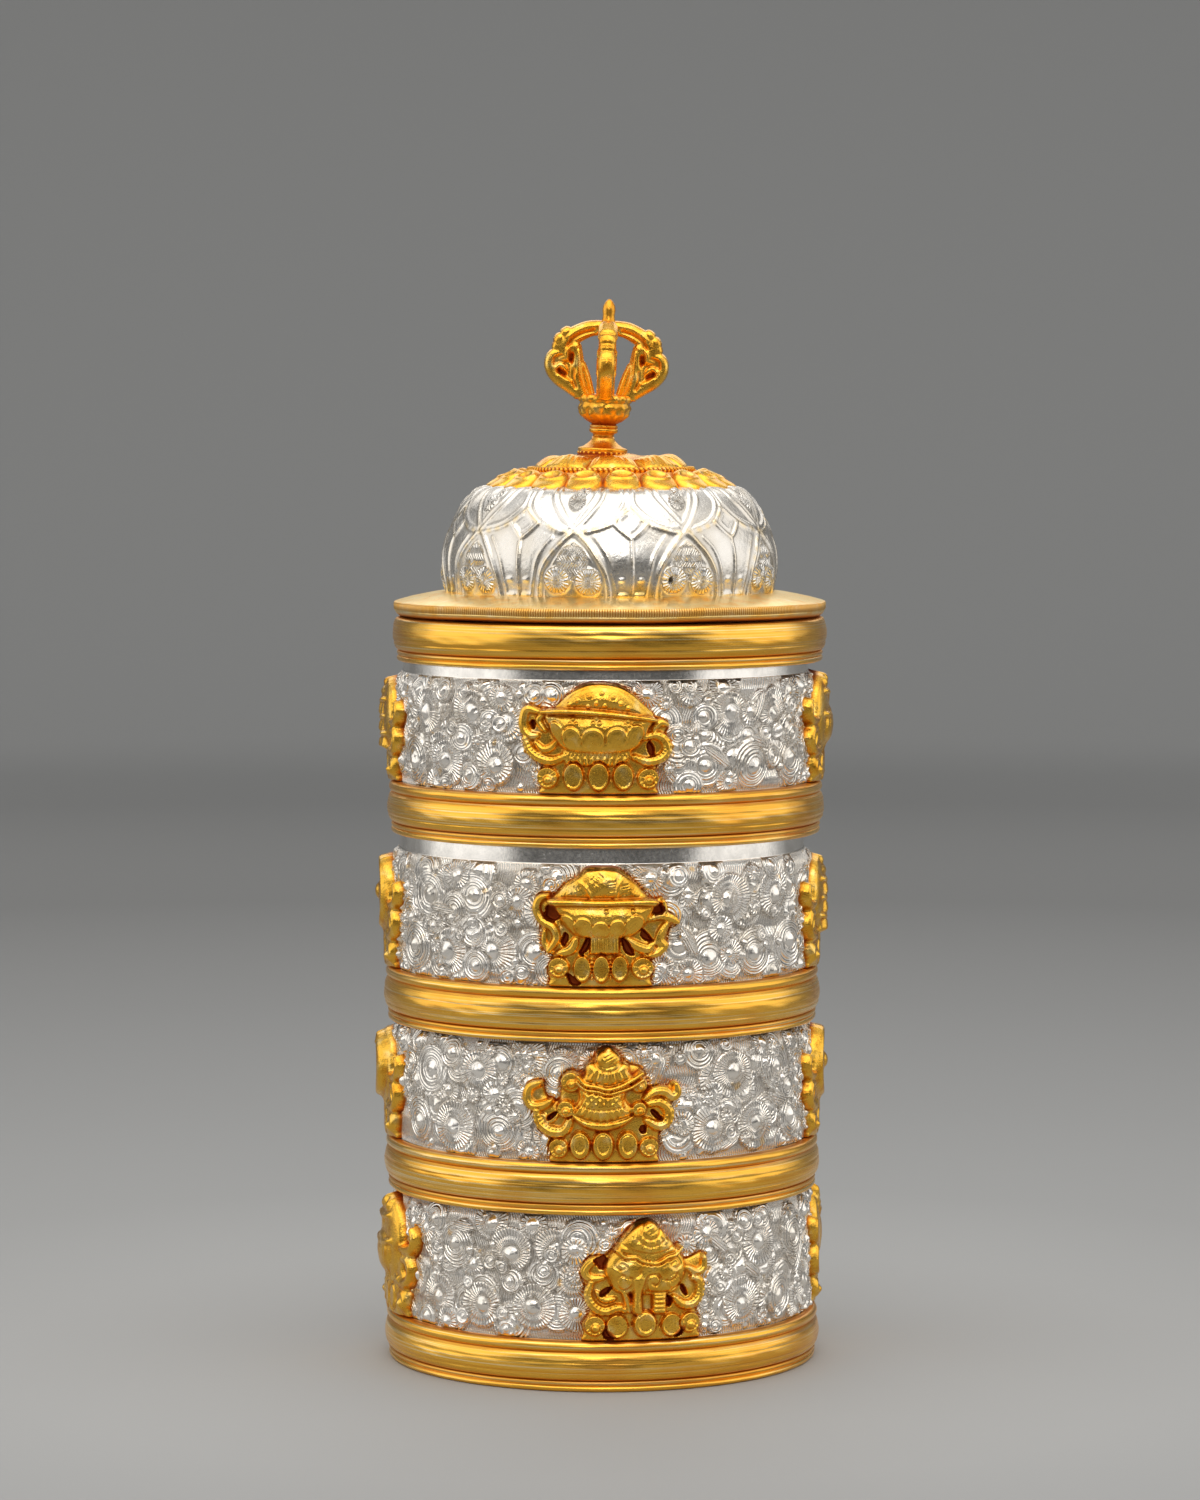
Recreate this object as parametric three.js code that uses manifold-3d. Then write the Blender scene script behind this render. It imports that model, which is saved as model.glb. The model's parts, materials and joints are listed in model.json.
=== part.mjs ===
// A rice offering pot: four round metal tiers stacked on one another, each with a silver
// relief band, a gilt moulding at its foot and four gilt emblems, under a domed lid with a
// half-vajra finial. Every tier is a separate rice compartment that lifts off the one below.
// Millimetres, +Z up, the front towards -Y, the origin at the centre of the base.
import * as THREE from "three";
import { mergeVertices } from "three/addons/utils/BufferGeometryUtils.js";
import Module from "manifold-3d";

const wasm = await Module();
wasm.setup();

// Driving dimensions
const gap = 0.3; // clearance left between two pieces that touch
const sides = 30; // facets round every turned piece
const mouldingRadius = 35; // the pot is 70 mm across its mouldings
const boreRadius = 33.4; // inside of a moulding
const bandRadius = 33.1; // outside of the silver band, before its relief
const bandInside = 32.75;
const neckRadius = 32.45; // outside of a cup, whose plain rim is the neck
const cupInside = 31.2;
const plateThickness = 1.2; // floors, seats and the foot plate
const seatDepth = 4.6; // how far a neck reaches into the moulding above it
const seatInside = 27.5;
const bandTuck = 2; // how far a band reaches down behind its moulding
const lidBottom = 111.9;
const lidShift = 1.25; // the lid sits a little to the right, within its play on the neck
const finialShift = -1.15; // the finial stands a little left of the lid's centre
const finialLean = THREE.MathUtils.degToRad(2.6);
const studRadius = 1.4;

// Each tier, from the base up: the height of its foot, of its moulding and of the plain neck
// that shows above its band, how far it is turned and shifted, and its emblems anticlockwise
// from the front.
const tiers = [
  {
    bottom: 0,
    moulding: 8,
    plainNeck: 0.2,
    turn: 11,
    shift: 0,
    emblemHeight: 18.6,
    emblems: ["elephant", "conch", "mirror", "vase"],
  },
  {
    bottom: 27.6,
    moulding: 8.25,
    plainNeck: 0.2,
    turn: 1,
    shift: 0,
    emblemHeight: 17.9,
    emblems: ["parasol", "wheel", "lotus", "fish"],
  },
  {
    bottom: 54.5,
    moulding: 8.6,
    plainNeck: 2.6,
    turn: 0,
    shift: 0,
    emblemHeight: 18.3,
    emblems: ["leaf_bowl", "banner", "conch", "wheel"],
  },
  {
    bottom: 84.5,
    moulding: 8.35,
    plainNeck: 1.7,
    turn: -2,
    shift: 0.6,
    emblemHeight: 17,
    emblems: ["seed_bowl", "vase", "knot", "banner"],
  },
];
const emblemSides = ["front", "right", "back", "left"];

const finishes = {
  gilt: { color: 0xe0a032, roughness: 0.38, metalness: 1 },
  silver: { color: 0xe6e4de, roughness: 0.2, metalness: 1 },
  copper: { color: 0xc98a5e, roughness: 0.4, metalness: 1 },
  steel: { color: 0xa9a9a6, roughness: 0.45, metalness: 1 },
};

function piece(name, geometry, finish) {
  const mesh = new THREE.Mesh(geometry, new THREE.MeshStandardMaterial(finishes[finish]));
  mesh.name = name;
  return mesh;
}

// Solids to and from the boolean library

function solidOf(geometry) {
  const bare = geometry.clone();
  bare.deleteAttribute("normal");
  bare.deleteAttribute("uv");
  const merged = mergeVertices(bare, 1e-3);
  const mesh = new wasm.Mesh({
    numProp: 3,
    vertProperties: merged.attributes.position.array,
    triVerts: new Uint32Array(merged.index.array),
  });
  return new wasm.Manifold(mesh);
}

function geometryOf(solid) {
  const mesh = solid.getMesh();
  const geometry = new THREE.BufferGeometry();
  geometry.setAttribute("position", new THREE.BufferAttribute(mesh.vertProperties, 3));
  geometry.setIndex(new THREE.BufferAttribute(mesh.triVerts, 1));
  geometry.computeVertexNormals();
  return geometry;
}

const joined = (solids) => solids.reduce((a, b) => a.add(b));

// A closed outline of [radius, height] points, turned about Z. Either way round will do.
function turned(outline, segments = sides) {
  const area = outline.reduce((sum, [r, z], i) => {
    const [nextR, nextZ] = outline[(i + 1) % outline.length];
    return sum + r * nextZ - nextR * z;
  }, 0);
  const ordered = area > 0 ? outline : outline.toReversed();
  const closed = ordered.some(([r]) => r === 0) ? fromTheAxis(ordered) : [...ordered, ordered[0]];
  const points = closed.map(([r, z]) => new THREE.Vector2(r, z));
  return new THREE.LatheGeometry(points, segments).rotateX(Math.PI / 2);
}

// The same outline, started at the foot of the axis and ended at its head.
function fromTheAxis(outline) {
  const start = outline.findIndex(([r], i) => r === 0 && outline.at(i - 1)[0] === 0);
  return [...outline.slice(start), ...outline.slice(0, start)];
}

const ring = (inner, outer, low, high) =>
  turned([[inner, low], [outer, low], [outer, high], [inner, high]]);

const disc = (radius, low, high) =>
  turned([[0, low], [radius, low], [radius, high], [0, high]]);

// Pieces of a tier

// A moulding: a lip, a groove, a fat round, a groove and a bead, on a straight bore. Its
// widest radius is given.
function moulding(height, widest, topBead = true) {
  const crown = topBead ? height - 2 : height;
  const middle = (1.8 + crown) / 2;
  const bead = topBead
    ? [[34.6, height - 1.6], [34.8, height - 1], [34.6, height - 0.3], [34, height]]
    : [[33.9, height]];
  return turned([
    [boreRadius, 0],
    [34.1, 0],
    [34.5, 0.5],
    [34.5, 1.4],
    [34.2, 1.8],
    [widest - 0.3, middle - 1.4],
    [widest, middle],
    [widest - 0.3, middle + 1.3],
    [34.2, crown - 0.2],
    ...bead,
    [boreRadius, height],
  ]);
}

// A cup: a floor and a wall in one, whose plain rim is the neck of the tier.
const cup = (low, high) =>
  turned([
    [0, low],
    [neckRadius, low],
    [neckRadius, high],
    [cupInside, high],
    [cupInside, low + plateThickness],
    [0, low + plateThickness],
  ]);

// Emblems, drawn flat with x along the band, y up from the moulding and z out of the band,
// then bent round the band.

function bent(geometry) {
  const position = geometry.attributes.position;
  for (let i = 0; i < position.count; i++) {
    const angle = position.getX(i) / bandRadius;
    const radius = bandRadius + position.getZ(i);
    position.setXYZ(
      i,
      radius * Math.sin(angle),
      -radius * Math.cos(angle),
      position.getY(i),
    );
  }
  return geometry;
}

const rootDepth = 1.2; // how far an emblem's pieces start behind the band's face

function slab(shape, proud) {
  const settings = { depth: proud + rootDepth, bevelEnabled: false };
  return solidOf(bent(new THREE.ExtrudeGeometry(shape, settings).translate(0, 0, -rootDepth)));
}

// A rounded boss centred on the band's face.
function boss(x, y, halfWidth, halfHeight, proud, tilt = 0) {
  const ball = new THREE.SphereGeometry(1, 7, 5).scale(halfWidth, halfHeight, proud);
  return solidOf(bent(ball.rotateZ(tilt).translate(x, y, 0)));
}

// An outline from its right half: [x, y] points from the foot round to the top, in order.
function mirrored(half) {
  const left = half.filter(([x]) => x > 0).map(([x, y]) => [-x, y]);
  return new THREE.Shape([...half, ...left.reverse()].map(([x, y]) => new THREE.Vector2(x, y)));
}

// The ground of every emblem: a plate behind the motif, with a scarf that loops up and out
// to a curled end on each side.
const groundHalf = [
  [0, 0],
  [4, 0],
  [8.2, 0],
  [8.8, 3.2],
  [11.4, 5.8],
  [12, 12.4],
  [9.6, 11],
  [8.2, 8.4],
  [6.6, 12.6],
  [3.4, 15],
  [0, 15.6],
];

// A row of five upright lotus petals, the foot of every emblem.
const petalsHalf = [
  [0, 0],
  [3.2, 0],
  [8, 0],
  [8, 3],
  [7.2, 4.4],
  [5.7, 4.4],
  [4.8, 3],
  [4, 4.4],
  [2.5, 4.4],
  [1.6, 3],
  [0.8, 4.4],
];

// What stands on the petals, by name
const emblemCores = {
  seed_bowl: () => [boss(0, 10, 7.6, 4.2, 3.2), boss(0, 13, 6.6, 4.9, 2.2)],
  leaf_bowl: () => [boss(0, 9.6, 6.6, 4, 3.2), boss(0, 13.2, 6.2, 5, 2.2)],
  parasol: () => [
    boss(0, 8.8, 5.8, 4.4, 3),
    boss(0, 13.2, 5, 2.6, 3.2),
    boss(0, 16.4, 2.2, 2.1, 2.4),
  ],
  elephant: () => [
    boss(0, 11.2, 6.6, 5, 3.3),
    boss(-1.2, 6.4, 2.2, 4.6, 2.8),
    boss(0, 15.4, 4.9, 3.3, 2.8),
  ],
  conch: () => [boss(0.4, 11.2, 4.2, 6.4, 3.3, -0.35), boss(-2.2, 15.6, 2, 2.4, 2.2, 0.4)],
  mirror: () => [boss(0, 11.4, 6.4, 6.4, 2.2), boss(0, 11.4, 4.4, 4.4, 3.2)],
  vase: () => [boss(0, 8.8, 5, 4.2, 3.3), boss(0, 13.6, 2.6, 3, 2.4), boss(0, 16.6, 2, 1.9, 2)],
  wheel: () => [boss(0, 11.4, 6.6, 6.6, 2), boss(0, 11.4, 2.4, 2.4, 3.3)],
  lotus: () => [
    boss(0, 9.6, 7.2, 4, 3),
    boss(0, 13, 3.2, 5.2, 2.6),
    boss(-4.4, 12, 2.8, 4.4, 2.2, 0.5),
    boss(4.4, 12, 2.8, 4.4, 2.2, -0.5),
  ],
  fish: () => [boss(-2.6, 11, 2.4, 6.6, 3.2, 0.2), boss(2.6, 11, 2.4, 6.6, 3.2, -0.2)],
  knot: () => [boss(0, 11.2, 5.6, 6.4, 2.4), boss(0, 11.2, 3.4, 4.2, 3.2)],
  banner: () => [boss(0, 10, 4, 5.4, 3), boss(0, 15, 4.6, 2.6, 3)],
};

const designHeight = 18.5; // the height that the emblems are drawn at

function emblem(name, height) {
  const ground = slab(mirrored(groundHalf), 1.2);
  const petals = slab(mirrored(petalsHalf), 2.3);
  const parts = [ground, petals, ...emblemCores[name]()];
  const clearOfBand = solidOf(disc(bandRadius + gap, -5, 25));
  const grown = joined(parts).scale([1, 1, height / designHeight]);
  return geometryOf(grown.subtract(clearOfBand));
}

// The largest scrolls of a band: blunt cones in the space between two emblems, as [along, up]
// from its middle and its foot, for a band of the height given.
const scrollRadius = 3.4;
const scrollRoot = 0.2; // how far a scroll starts behind the band's face
const scrollRise = 1.1 + scrollRoot;
const scrollPlaces = [
  [-9, 4.6],
  [0, 4.4],
  [9.2, 4.8],
  [-5, 12.8],
  [5, 13],
];
const scrollDesignHeight = 18.4;

function silverBand(low, foot, high) {
  const raised = (high - foot) / scrollDesignHeight;
  const parts = [solidOf(ring(bandInside, bandRadius, low, high))];
  for (let quarter = 0; quarter < 4; quarter++) {
    for (const [along, up] of scrollPlaces) {
      const cone = new THREE.CylinderGeometry(0.45 * scrollRadius, scrollRadius, scrollRise, 7);
      cone.rotateX(Math.PI / 2).translate(along, up * raised, scrollRise / 2 - scrollRoot);
      parts.push(solidOf(bent(cone)).translate([0, 0, foot]).rotate([0, 0, 45 + 90 * quarter]));
    }
  }
  return geometryOf(joined(parts));
}

function tier(index) {
  const { bottom, moulding: foot, plainNeck, turn, shift, emblemHeight, emblems } = tiers[index];
  const name = `tier_${index + 1}`;
  const above = index + 1 < tiers.length ? tiers[index + 1].bottom : lidBottom;
  const height = above - bottom;
  const onTheFloor = index === 0;
  const seat = onTheFloor ? 0.9 : seatDepth;
  const cupFloor = seat + plateThickness + gap;
  const group = new THREE.Group();
  group.position.set(shift, 0, bottom);
  group.rotation.z = THREE.MathUtils.degToRad(turn);
  group.add(
    onTheFloor
      ? piece("foot_plate", disc(neckRadius, seat, seat + plateThickness), "copper")
      : piece(`${name}_seat_ring`, ring(seatInside, neckRadius, seat, seat + plateThickness), "copper"),
    piece(`${name}_moulding`, moulding(foot, mouldingRadius), "gilt"),
    piece(`${name}_cup`, cup(cupFloor, height + seatDepth - gap), "silver"),
    piece(
      `${name}_silver_band`,
      silverBand(foot - bandTuck, foot, height - plainNeck),
      "silver",
    ),
  );
  emblems.forEach((motif, i) => {
    const mesh = piece(`${name}_${motif}_${emblemSides[i]}`, emblem(motif, emblemHeight), "gilt");
    mesh.position.z = foot + gap;
    mesh.rotation.z = (i * Math.PI) / 2;
    group.add(mesh);
  });
  return group;
}

// Pieces of the lid. Heights are above the foot of its moulding.

const lidMoulding = 7.1;
const lidWidest = 34.7;
const rimLow = lidMoulding + gap;
const rimHigh = 9.3;
const domeFoot = 10.7; // where the dome stands on the flange

// The flange slopes up from its milled rim to the foot of the dome.
const flange = () =>
  turned([
    [24.6, 9.9],
    [33, 9],
    [33.5, rimLow],
    [34.3, rimLow],
    [34.6, rimLow + 0.3],
    [34.6, rimHigh - 0.2],
    [34.3, rimHigh],
    [27.4, 10.35],
    [24.6, 10.4],
  ]);

// The dome's outside, from its foot up to the hole for the stud
const domeOutline = [
  [26, domeFoot],
  [26.7, 15],
  [26.1, 19.2],
  [24.9, 22.4],
  [22.8, 25.8],
  [20.8, 27.5],
  [17, 28.6],
  [9, 30],
  [3, 30.4],
];
const domeThickness = 0.9;

function dome() {
  const inside = domeOutline.map(([r, z], i) =>
    i === 0 ? [r - domeThickness, z] : [Math.max(r - domeThickness, 3), z - domeThickness],
  );
  return turned([...domeOutline, ...inside.reverse()]);
}

// A shell of petals over the dome: every second vertex round it stands in, so each petal
// reads as a facet pair.
function petalShell(outline, petals, inset) {
  const geometry = turned(outline, petals * 2);
  const position = geometry.attributes.position;
  for (let i = 0; i < position.count; i++) {
    const angle = Math.atan2(position.getY(i), position.getX(i));
    const radius = Math.hypot(position.getX(i), position.getY(i));
    const between = Math.round((angle / Math.PI) * petals) % 2 !== 0;
    const scale = between ? 1 - (inset * radius) / (outline[0][0] ** 2) : 1;
    position.setXYZ(i, position.getX(i) * scale, position.getY(i) * scale, position.getZ(i));
  }
  return geometry;
}

const lotusCap = () =>
  petalShell(
    [
      [20.2, 28.15],
      [20.4, 28.6],
      [19, 29.6],
      [17.2, 30.4],
      [15.6, 30.6],
      [6, 31.3],
      [6, 30.9],
      [9, 30.5],
      [17.2, 29.1],
    ],
    20,
    0.7,
  );

const rosette = () =>
  petalShell(
    [
      [13.3, 31.4],
      [13.6, 31.9],
      [12, 32.3],
      [9.5, 32.6],
      [5, 32.6],
      [3, 32.6],
      [3, 31.75],
      [9, 31.5],
    ],
    10,
    0.8,
  );

const ropeRadius = 14.75;
const ropeRing = () =>
  new THREE.TorusGeometry(ropeRadius, 0.5, 6, sides).translate(0, 0, 31.5);

// The finial. Heights are above the top of the rosette, on its own leaning axis.

const finialFootHeight = 32.9;
const finialFoot = () =>
  turned(
    [
      [studRadius + gap, 0],
      [4.2, 0],
      [4.3, 0.5],
      [2.6, 1.7],
      [1.9, 2.6],
      [studRadius + gap, 2.6],
    ],
    16,
  );

// The bulb, its neck and the middle prong, in one turning
const vajraCore = [
  [0, 2.9],
  [2, 2.9],
  [2.3, 3.6],
  [2.2, 4.3],
  [1.9, 4.9],
  [3, 5.7],
  [4.2, 7.5],
  [4.4, 9],
  [3.4, 9.8],
  [1.3, 10.2],
  [0.9, 12],
  [1.3, 16],
  [0.8, 19.4],
  [1, 22.4],
  [0.9, 23.2],
  [0, 24.9],
];

// One outer prong: out of the bulb, round the side and in to the middle prong.
const prongPath = [
  [2.6, 9.4],
  [5.4, 10.8],
  [7.9, 12.4],
  [8.3, 14.6],
  [7, 16.6],
  [5.6, 18.6],
  [3.4, 19.8],
  [0.6, 20],
];

function prong() {
  const path = new THREE.CatmullRomCurve3(prongPath.map(([r, z]) => new THREE.Vector3(r, 0, z)));
  const section = new THREE.Shape().absellipse(0, 0, 1.1, 1.2, 0, Math.PI * 2);
  const settings = { steps: 9, curveSegments: 3, bevelEnabled: false, extrudePath: path };
  const stem = solidOf(new THREE.ExtrudeGeometry(section, settings));
  const head = new THREE.SphereGeometry(1, 7, 6).scale(2.1, 1.1, 3).translate(6.2, 0, 13.9);
  return stem.add(solidOf(head));
}

function vajra() {
  const parts = [solidOf(turned(vajraCore, 14))];
  for (let i = 0; i < 4; i++) parts.push(prong().rotate([0, 0, i * 90]));
  const socket = solidOf(turned([[0, 2], [studRadius, 2], [studRadius, 6], [0, 6]], 12));
  return geometryOf(joined(parts).subtract(socket));
}

function finial() {
  const group = new THREE.Group();
  const nutHigh = -5.3;
  const hexagon = new THREE.CylinderGeometry(3.1, 3.1, 2, 6).rotateX(Math.PI / 2);
  const stud = disc(studRadius - gap, nutHigh - 3, 5.7);
  const nutHole = solidOf(disc(studRadius, -9, 0));
  group.add(
    piece("finial_foot", finialFoot(), "gilt"),
    piece("vajra_finial", vajra(), "gilt"),
    piece("finial_stud", stud, "steel"),
    piece("finial_washer", ring(studRadius, 4.6, nutHigh + gap, nutHigh + gap + 0.9), "steel"),
    piece(
      "finial_nut",
      geometryOf(solidOf(hexagon.translate(0, 0, nutHigh - 1)).subtract(nutHole)),
      "steel",
    ),
  );
  return group;
}

function lid() {
  const group = new THREE.Group();
  group.position.set(lidShift, 0, lidBottom);
  const top = finial();
  top.position.set(finialShift, 0, finialFootHeight);
  top.rotation.y = finialLean;
  group.add(
    piece("lid_seat_ring", ring(seatInside, neckRadius, seatDepth, seatDepth + plateThickness), "copper"),
    piece("lid_moulding", moulding(lidMoulding, lidWidest, false), "gilt"),
    piece("lid_flange", flange(), "gilt"),
    piece("lid_dome", dome(), "silver"),
    piece("lotus_cap", lotusCap(), "gilt"),
    piece("rope_ring", ropeRing(), "gilt"),
    piece("petal_rosette", rosette(), "gilt"),
    top,
  );
  return group;
}

const pot = new THREE.Group();
tiers.forEach((_, index) => pot.add(tier(index)));
pot.add(lid());

export default pot;
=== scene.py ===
import json
import math
import bpy
import numpy as np
from mathutils import Matrix, Vector


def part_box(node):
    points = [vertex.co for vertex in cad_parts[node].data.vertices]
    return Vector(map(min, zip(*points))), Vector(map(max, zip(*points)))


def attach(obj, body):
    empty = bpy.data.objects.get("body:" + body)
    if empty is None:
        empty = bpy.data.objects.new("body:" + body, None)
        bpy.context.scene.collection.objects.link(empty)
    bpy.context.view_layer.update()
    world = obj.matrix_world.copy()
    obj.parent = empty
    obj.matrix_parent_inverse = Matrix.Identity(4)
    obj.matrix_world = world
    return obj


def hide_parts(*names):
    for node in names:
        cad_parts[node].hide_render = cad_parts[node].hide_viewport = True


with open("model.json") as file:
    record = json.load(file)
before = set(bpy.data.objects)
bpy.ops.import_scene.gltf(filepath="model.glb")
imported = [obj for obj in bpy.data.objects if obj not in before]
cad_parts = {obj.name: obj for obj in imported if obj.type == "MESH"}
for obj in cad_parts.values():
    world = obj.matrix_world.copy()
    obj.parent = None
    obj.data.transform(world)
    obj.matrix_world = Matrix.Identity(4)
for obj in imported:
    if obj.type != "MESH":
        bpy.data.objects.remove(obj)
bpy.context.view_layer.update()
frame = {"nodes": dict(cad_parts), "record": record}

mm = 0.001
scene = bpy.context.scene

# Camera and studio

view = {
    "distance": 0.78,  # from the pot's axis
    "height": 0.152,
    "pitch": 4.007,  # degrees below the horizon
    "focalPixels": 4872,
    "photoHeight": 1500,
    "axisOffset": -0.0003,
    "sensor": 36,
    "near": 0.01,
    "far": 20,
}

camera = bpy.data.cameras.new("camera")
cameraObject = bpy.data.objects.new("camera", camera)
scene.collection.objects.link(cameraObject)
camera.sensor_width = view["sensor"]
camera.lens = view["focalPixels"] * view["sensor"] / view["photoHeight"]
camera.clip_start = view["near"]
camera.clip_end = view["far"]
cameraObject.location = (view["axisOffset"], -view["distance"], view["height"])
cameraObject.rotation_euler = (math.radians(90 - view["pitch"]), 0, 0)
scene.camera = cameraObject

studio = {
    "bright": (0.62, 0.62, 0.615),
    "dark": (0.045, 0.045, 0.045),
    "roomFront": (0.52, 0.68),  # how far towards the front the dark room starts, and is full
    "roomTop": (0.27, 0.15),  # the same for how low a direction points
    "boxes": [
        # name, place, size, brightness, colour
        ("softboxLeft", (-0.70, -0.10, 0.24), (0.80, 0.75), 0.60, (1, 0.98, 0.95)),
        ("softboxRight", (0.70, -0.10, 0.24), (0.80, 0.75), 0.56, (1, 0.975, 0.94)),
        ("softboxTop", (0.0, -0.22, 0.75), (1.1, 0.75), 1.35, (1, 0.985, 0.96)),
        ("softboxFront", (0.0, -0.95, 0.60), (0.50, 0.24), 3.3, (1, 0.99, 0.97)),
        ("softboxBack", (0.0, 0.85, 0.62), (1.2, 0.5), 1.3, (1, 0.985, 0.96)),
    ],
    "aim": (0, 0, 0.085),
}


def group(name, inputs, outputs):
    tree = bpy.data.node_groups.new(name, "ShaderNodeTree")
    for label, kind, value in inputs:
        tree.interface.new_socket(label, in_out="INPUT", socket_type=kind).default_value = value
    for label, kind in outputs:
        tree.interface.new_socket(label, in_out="OUTPUT", socket_type=kind)
    return tree, tree.nodes.new("NodeGroupInput"), tree.nodes.new("NodeGroupOutput")


def connect(tree, socket, value):
    if isinstance(value, bpy.types.NodeSocket):
        tree.links.new(value, socket)
    else:
        socket.default_value = value


def node(tree, kind, inputs=None, **settings):
    made = tree.nodes.new(kind)
    for key, value in settings.items():
        setattr(made, key, value)
    for key, value in (inputs or {}).items():
        connect(tree, made.inputs[key], value)
    return made


def calc(tree, operation, a, b=0.0, clamp=False):
    made = node(tree, "ShaderNodeMath", {0: a, 1: b}, operation=operation, use_clamp=clamp)
    return made.outputs[0]


def mixColor(tree, factor, a, b):
    made = node(tree, "ShaderNodeMix", data_type="RGBA")
    connect(tree, made.inputs[0], factor)
    for i, value in ((6, a), (7, b)):
        connect(tree, made.inputs[i], (*value, 1) if isinstance(value, tuple) else value)
    return made.outputs[2]


def spread(tree, value, low, high):
    # 0 at low, 1 at high, and held there outside them
    made = node(tree, "ShaderNodeMapRange", {"Value": value, "From Min": low, "From Max": high})
    return made.outputs["Result"]


def ramp(tree, factor, stops):
    made = node(tree, "ShaderNodeValToRGB", {"Fac": factor})
    elements = made.color_ramp.elements
    while len(elements) < len(stops):
        elements.new(0.5)
    for element, (position, color) in zip(elements, stops):
        element.position = position
        element.color = (*color, 1)
    return made.outputs["Color"]


def makeStudio(spec):
    # bright all round, with a dark room low in front of the pot
    world = bpy.data.worlds.new("studio")
    world.use_nodes = True
    tree = world.node_tree
    direction = node(tree, "ShaderNodeTexCoord").outputs["Generated"]
    parts = node(tree, "ShaderNodeSeparateXYZ", {"Vector": direction}).outputs
    inFront = spread(tree, calc(tree, "MULTIPLY", parts["Y"], -1.0), *spec["roomFront"])
    low = spread(tree, parts["Z"], *spec["roomTop"])
    room = calc(tree, "MULTIPLY", inFront, low)
    color = mixColor(tree, room, spec["bright"], spec["dark"])
    tree.links.new(color, tree.nodes["Background"].inputs["Color"])
    scene.world = world
    for name, place, size, brightness, color in spec["boxes"]:
        light = bpy.data.lights.new(name, "AREA")
        light.shape = "RECTANGLE"
        light.size, light.size_y = size
        light.color = color
        light.energy = brightness * math.pi * size[0] * size[1]
        lamp = bpy.data.objects.new(name, light)
        scene.collection.objects.link(lamp)
        lamp.location = place
        lamp.visible_camera = False
        towards = Vector(spec["aim"]) - Vector(place)
        lamp.rotation_euler = towards.to_track_quat("-Z", "Y").to_euler()
    scene.view_settings.view_transform = "Standard"


makeStudio(studio)
print("studio and camera placed")

# Numbers for surfaces


def smooth(a, b, t):
    t = np.clip((t - a) / (b - a), 0, 1)
    return t * t * (3 - 2 * t)


def bump(distance, width, rise):
    return rise * np.exp(-((distance / width) ** 2))


def roof(q):
    # a round top: 1 in the middle and 0 from q = 1 outwards
    return np.sqrt(np.clip(1 - q**2, 0, 1))


def blurred(field, times, wrap=False):
    # repeated 1-2-1 averages along both directions of a grid
    mode = "wrap" if wrap else "edge"
    for _ in range(times):
        tall = np.pad(field, ((1, 1), (0, 0)), "edge")
        field = (tall[:-2] + 2 * tall[1:-1] + tall[2:]) / 4
        wide = np.pad(field, ((0, 0), (1, 1)), mode)
        field = (wide[:, :-2] + 2 * wide[:, 1:-1] + wide[:, 2:]) / 4
    return field


def smoothPath(points, count):
    # Catmull-Rom curve through the points, evenly in its parameter
    points = np.array(points, float)
    padded = np.vstack([2 * points[0] - points[1], points, 2 * points[-1] - points[-2]])
    t = np.linspace(0, len(points) - 1, count)
    i = np.minimum(t.astype(int), len(points) - 2)
    f = (t - i)[:, None]
    a, b, c, d = padded[i], padded[i + 1], padded[i + 2], padded[i + 3]
    return 0.5 * (
        2 * b + (c - a) * f + (2 * a - 5 * b + 4 * c - d) * f**2 + (3 * b - a - 3 * c + d) * f**3
    )


def lengthAlong(line):
    steps = np.hypot(*np.diff(line, axis=0).T)
    return np.concatenate([[0], np.cumsum(steps)])


def evenly(line, at):
    # points of a line at the given distances along it
    along = lengthAlong(line)
    return np.stack([np.interp(at, along, line[:, i]) for i in range(line.shape[1])], 1)


# Meshes


def surface(points, closeRows=False, closeColumns=False, poles=()):
    # points on a grid of rows and columns; a pole is a row that is one point
    rows, columns = points.shape[:2]
    index = np.arange(rows * columns).reshape(rows, columns)
    for row in poles:
        index[row] = index[row, 0]
    right, up = np.roll(index, -1, 1), np.roll(index, -1, 0)
    corner = np.roll(up, -1, 1)
    rowEnd = rows if closeRows else rows - 1
    columnEnd = columns if closeColumns else columns - 1
    a, b, c, d = [g[:rowEnd, :columnEnd].ravel() for g in (index, right, corner, up)]
    faces = np.vstack([np.stack([a, b, c], 1), np.stack([a, c, d], 1)])
    a, b, c = faces.T
    faces = faces[(a != b) & (b != c) & (a != c)]
    return points.reshape(-1, 3), faces


def closedRing(points):
    # a grid whose last row meets its first and whose last column meets its first
    return surface(points, closeRows=True, closeColumns=True)


def outward(vertices, faces):
    # a closed shell whose signed volume is negative is turned round
    a, b, c = (vertices[faces[:, i]] for i in range(3))
    volume = np.einsum("ij,ij->i", a, np.cross(b, c)).sum()
    return faces if volume > 0 else faces[:, ::-1]


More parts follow.
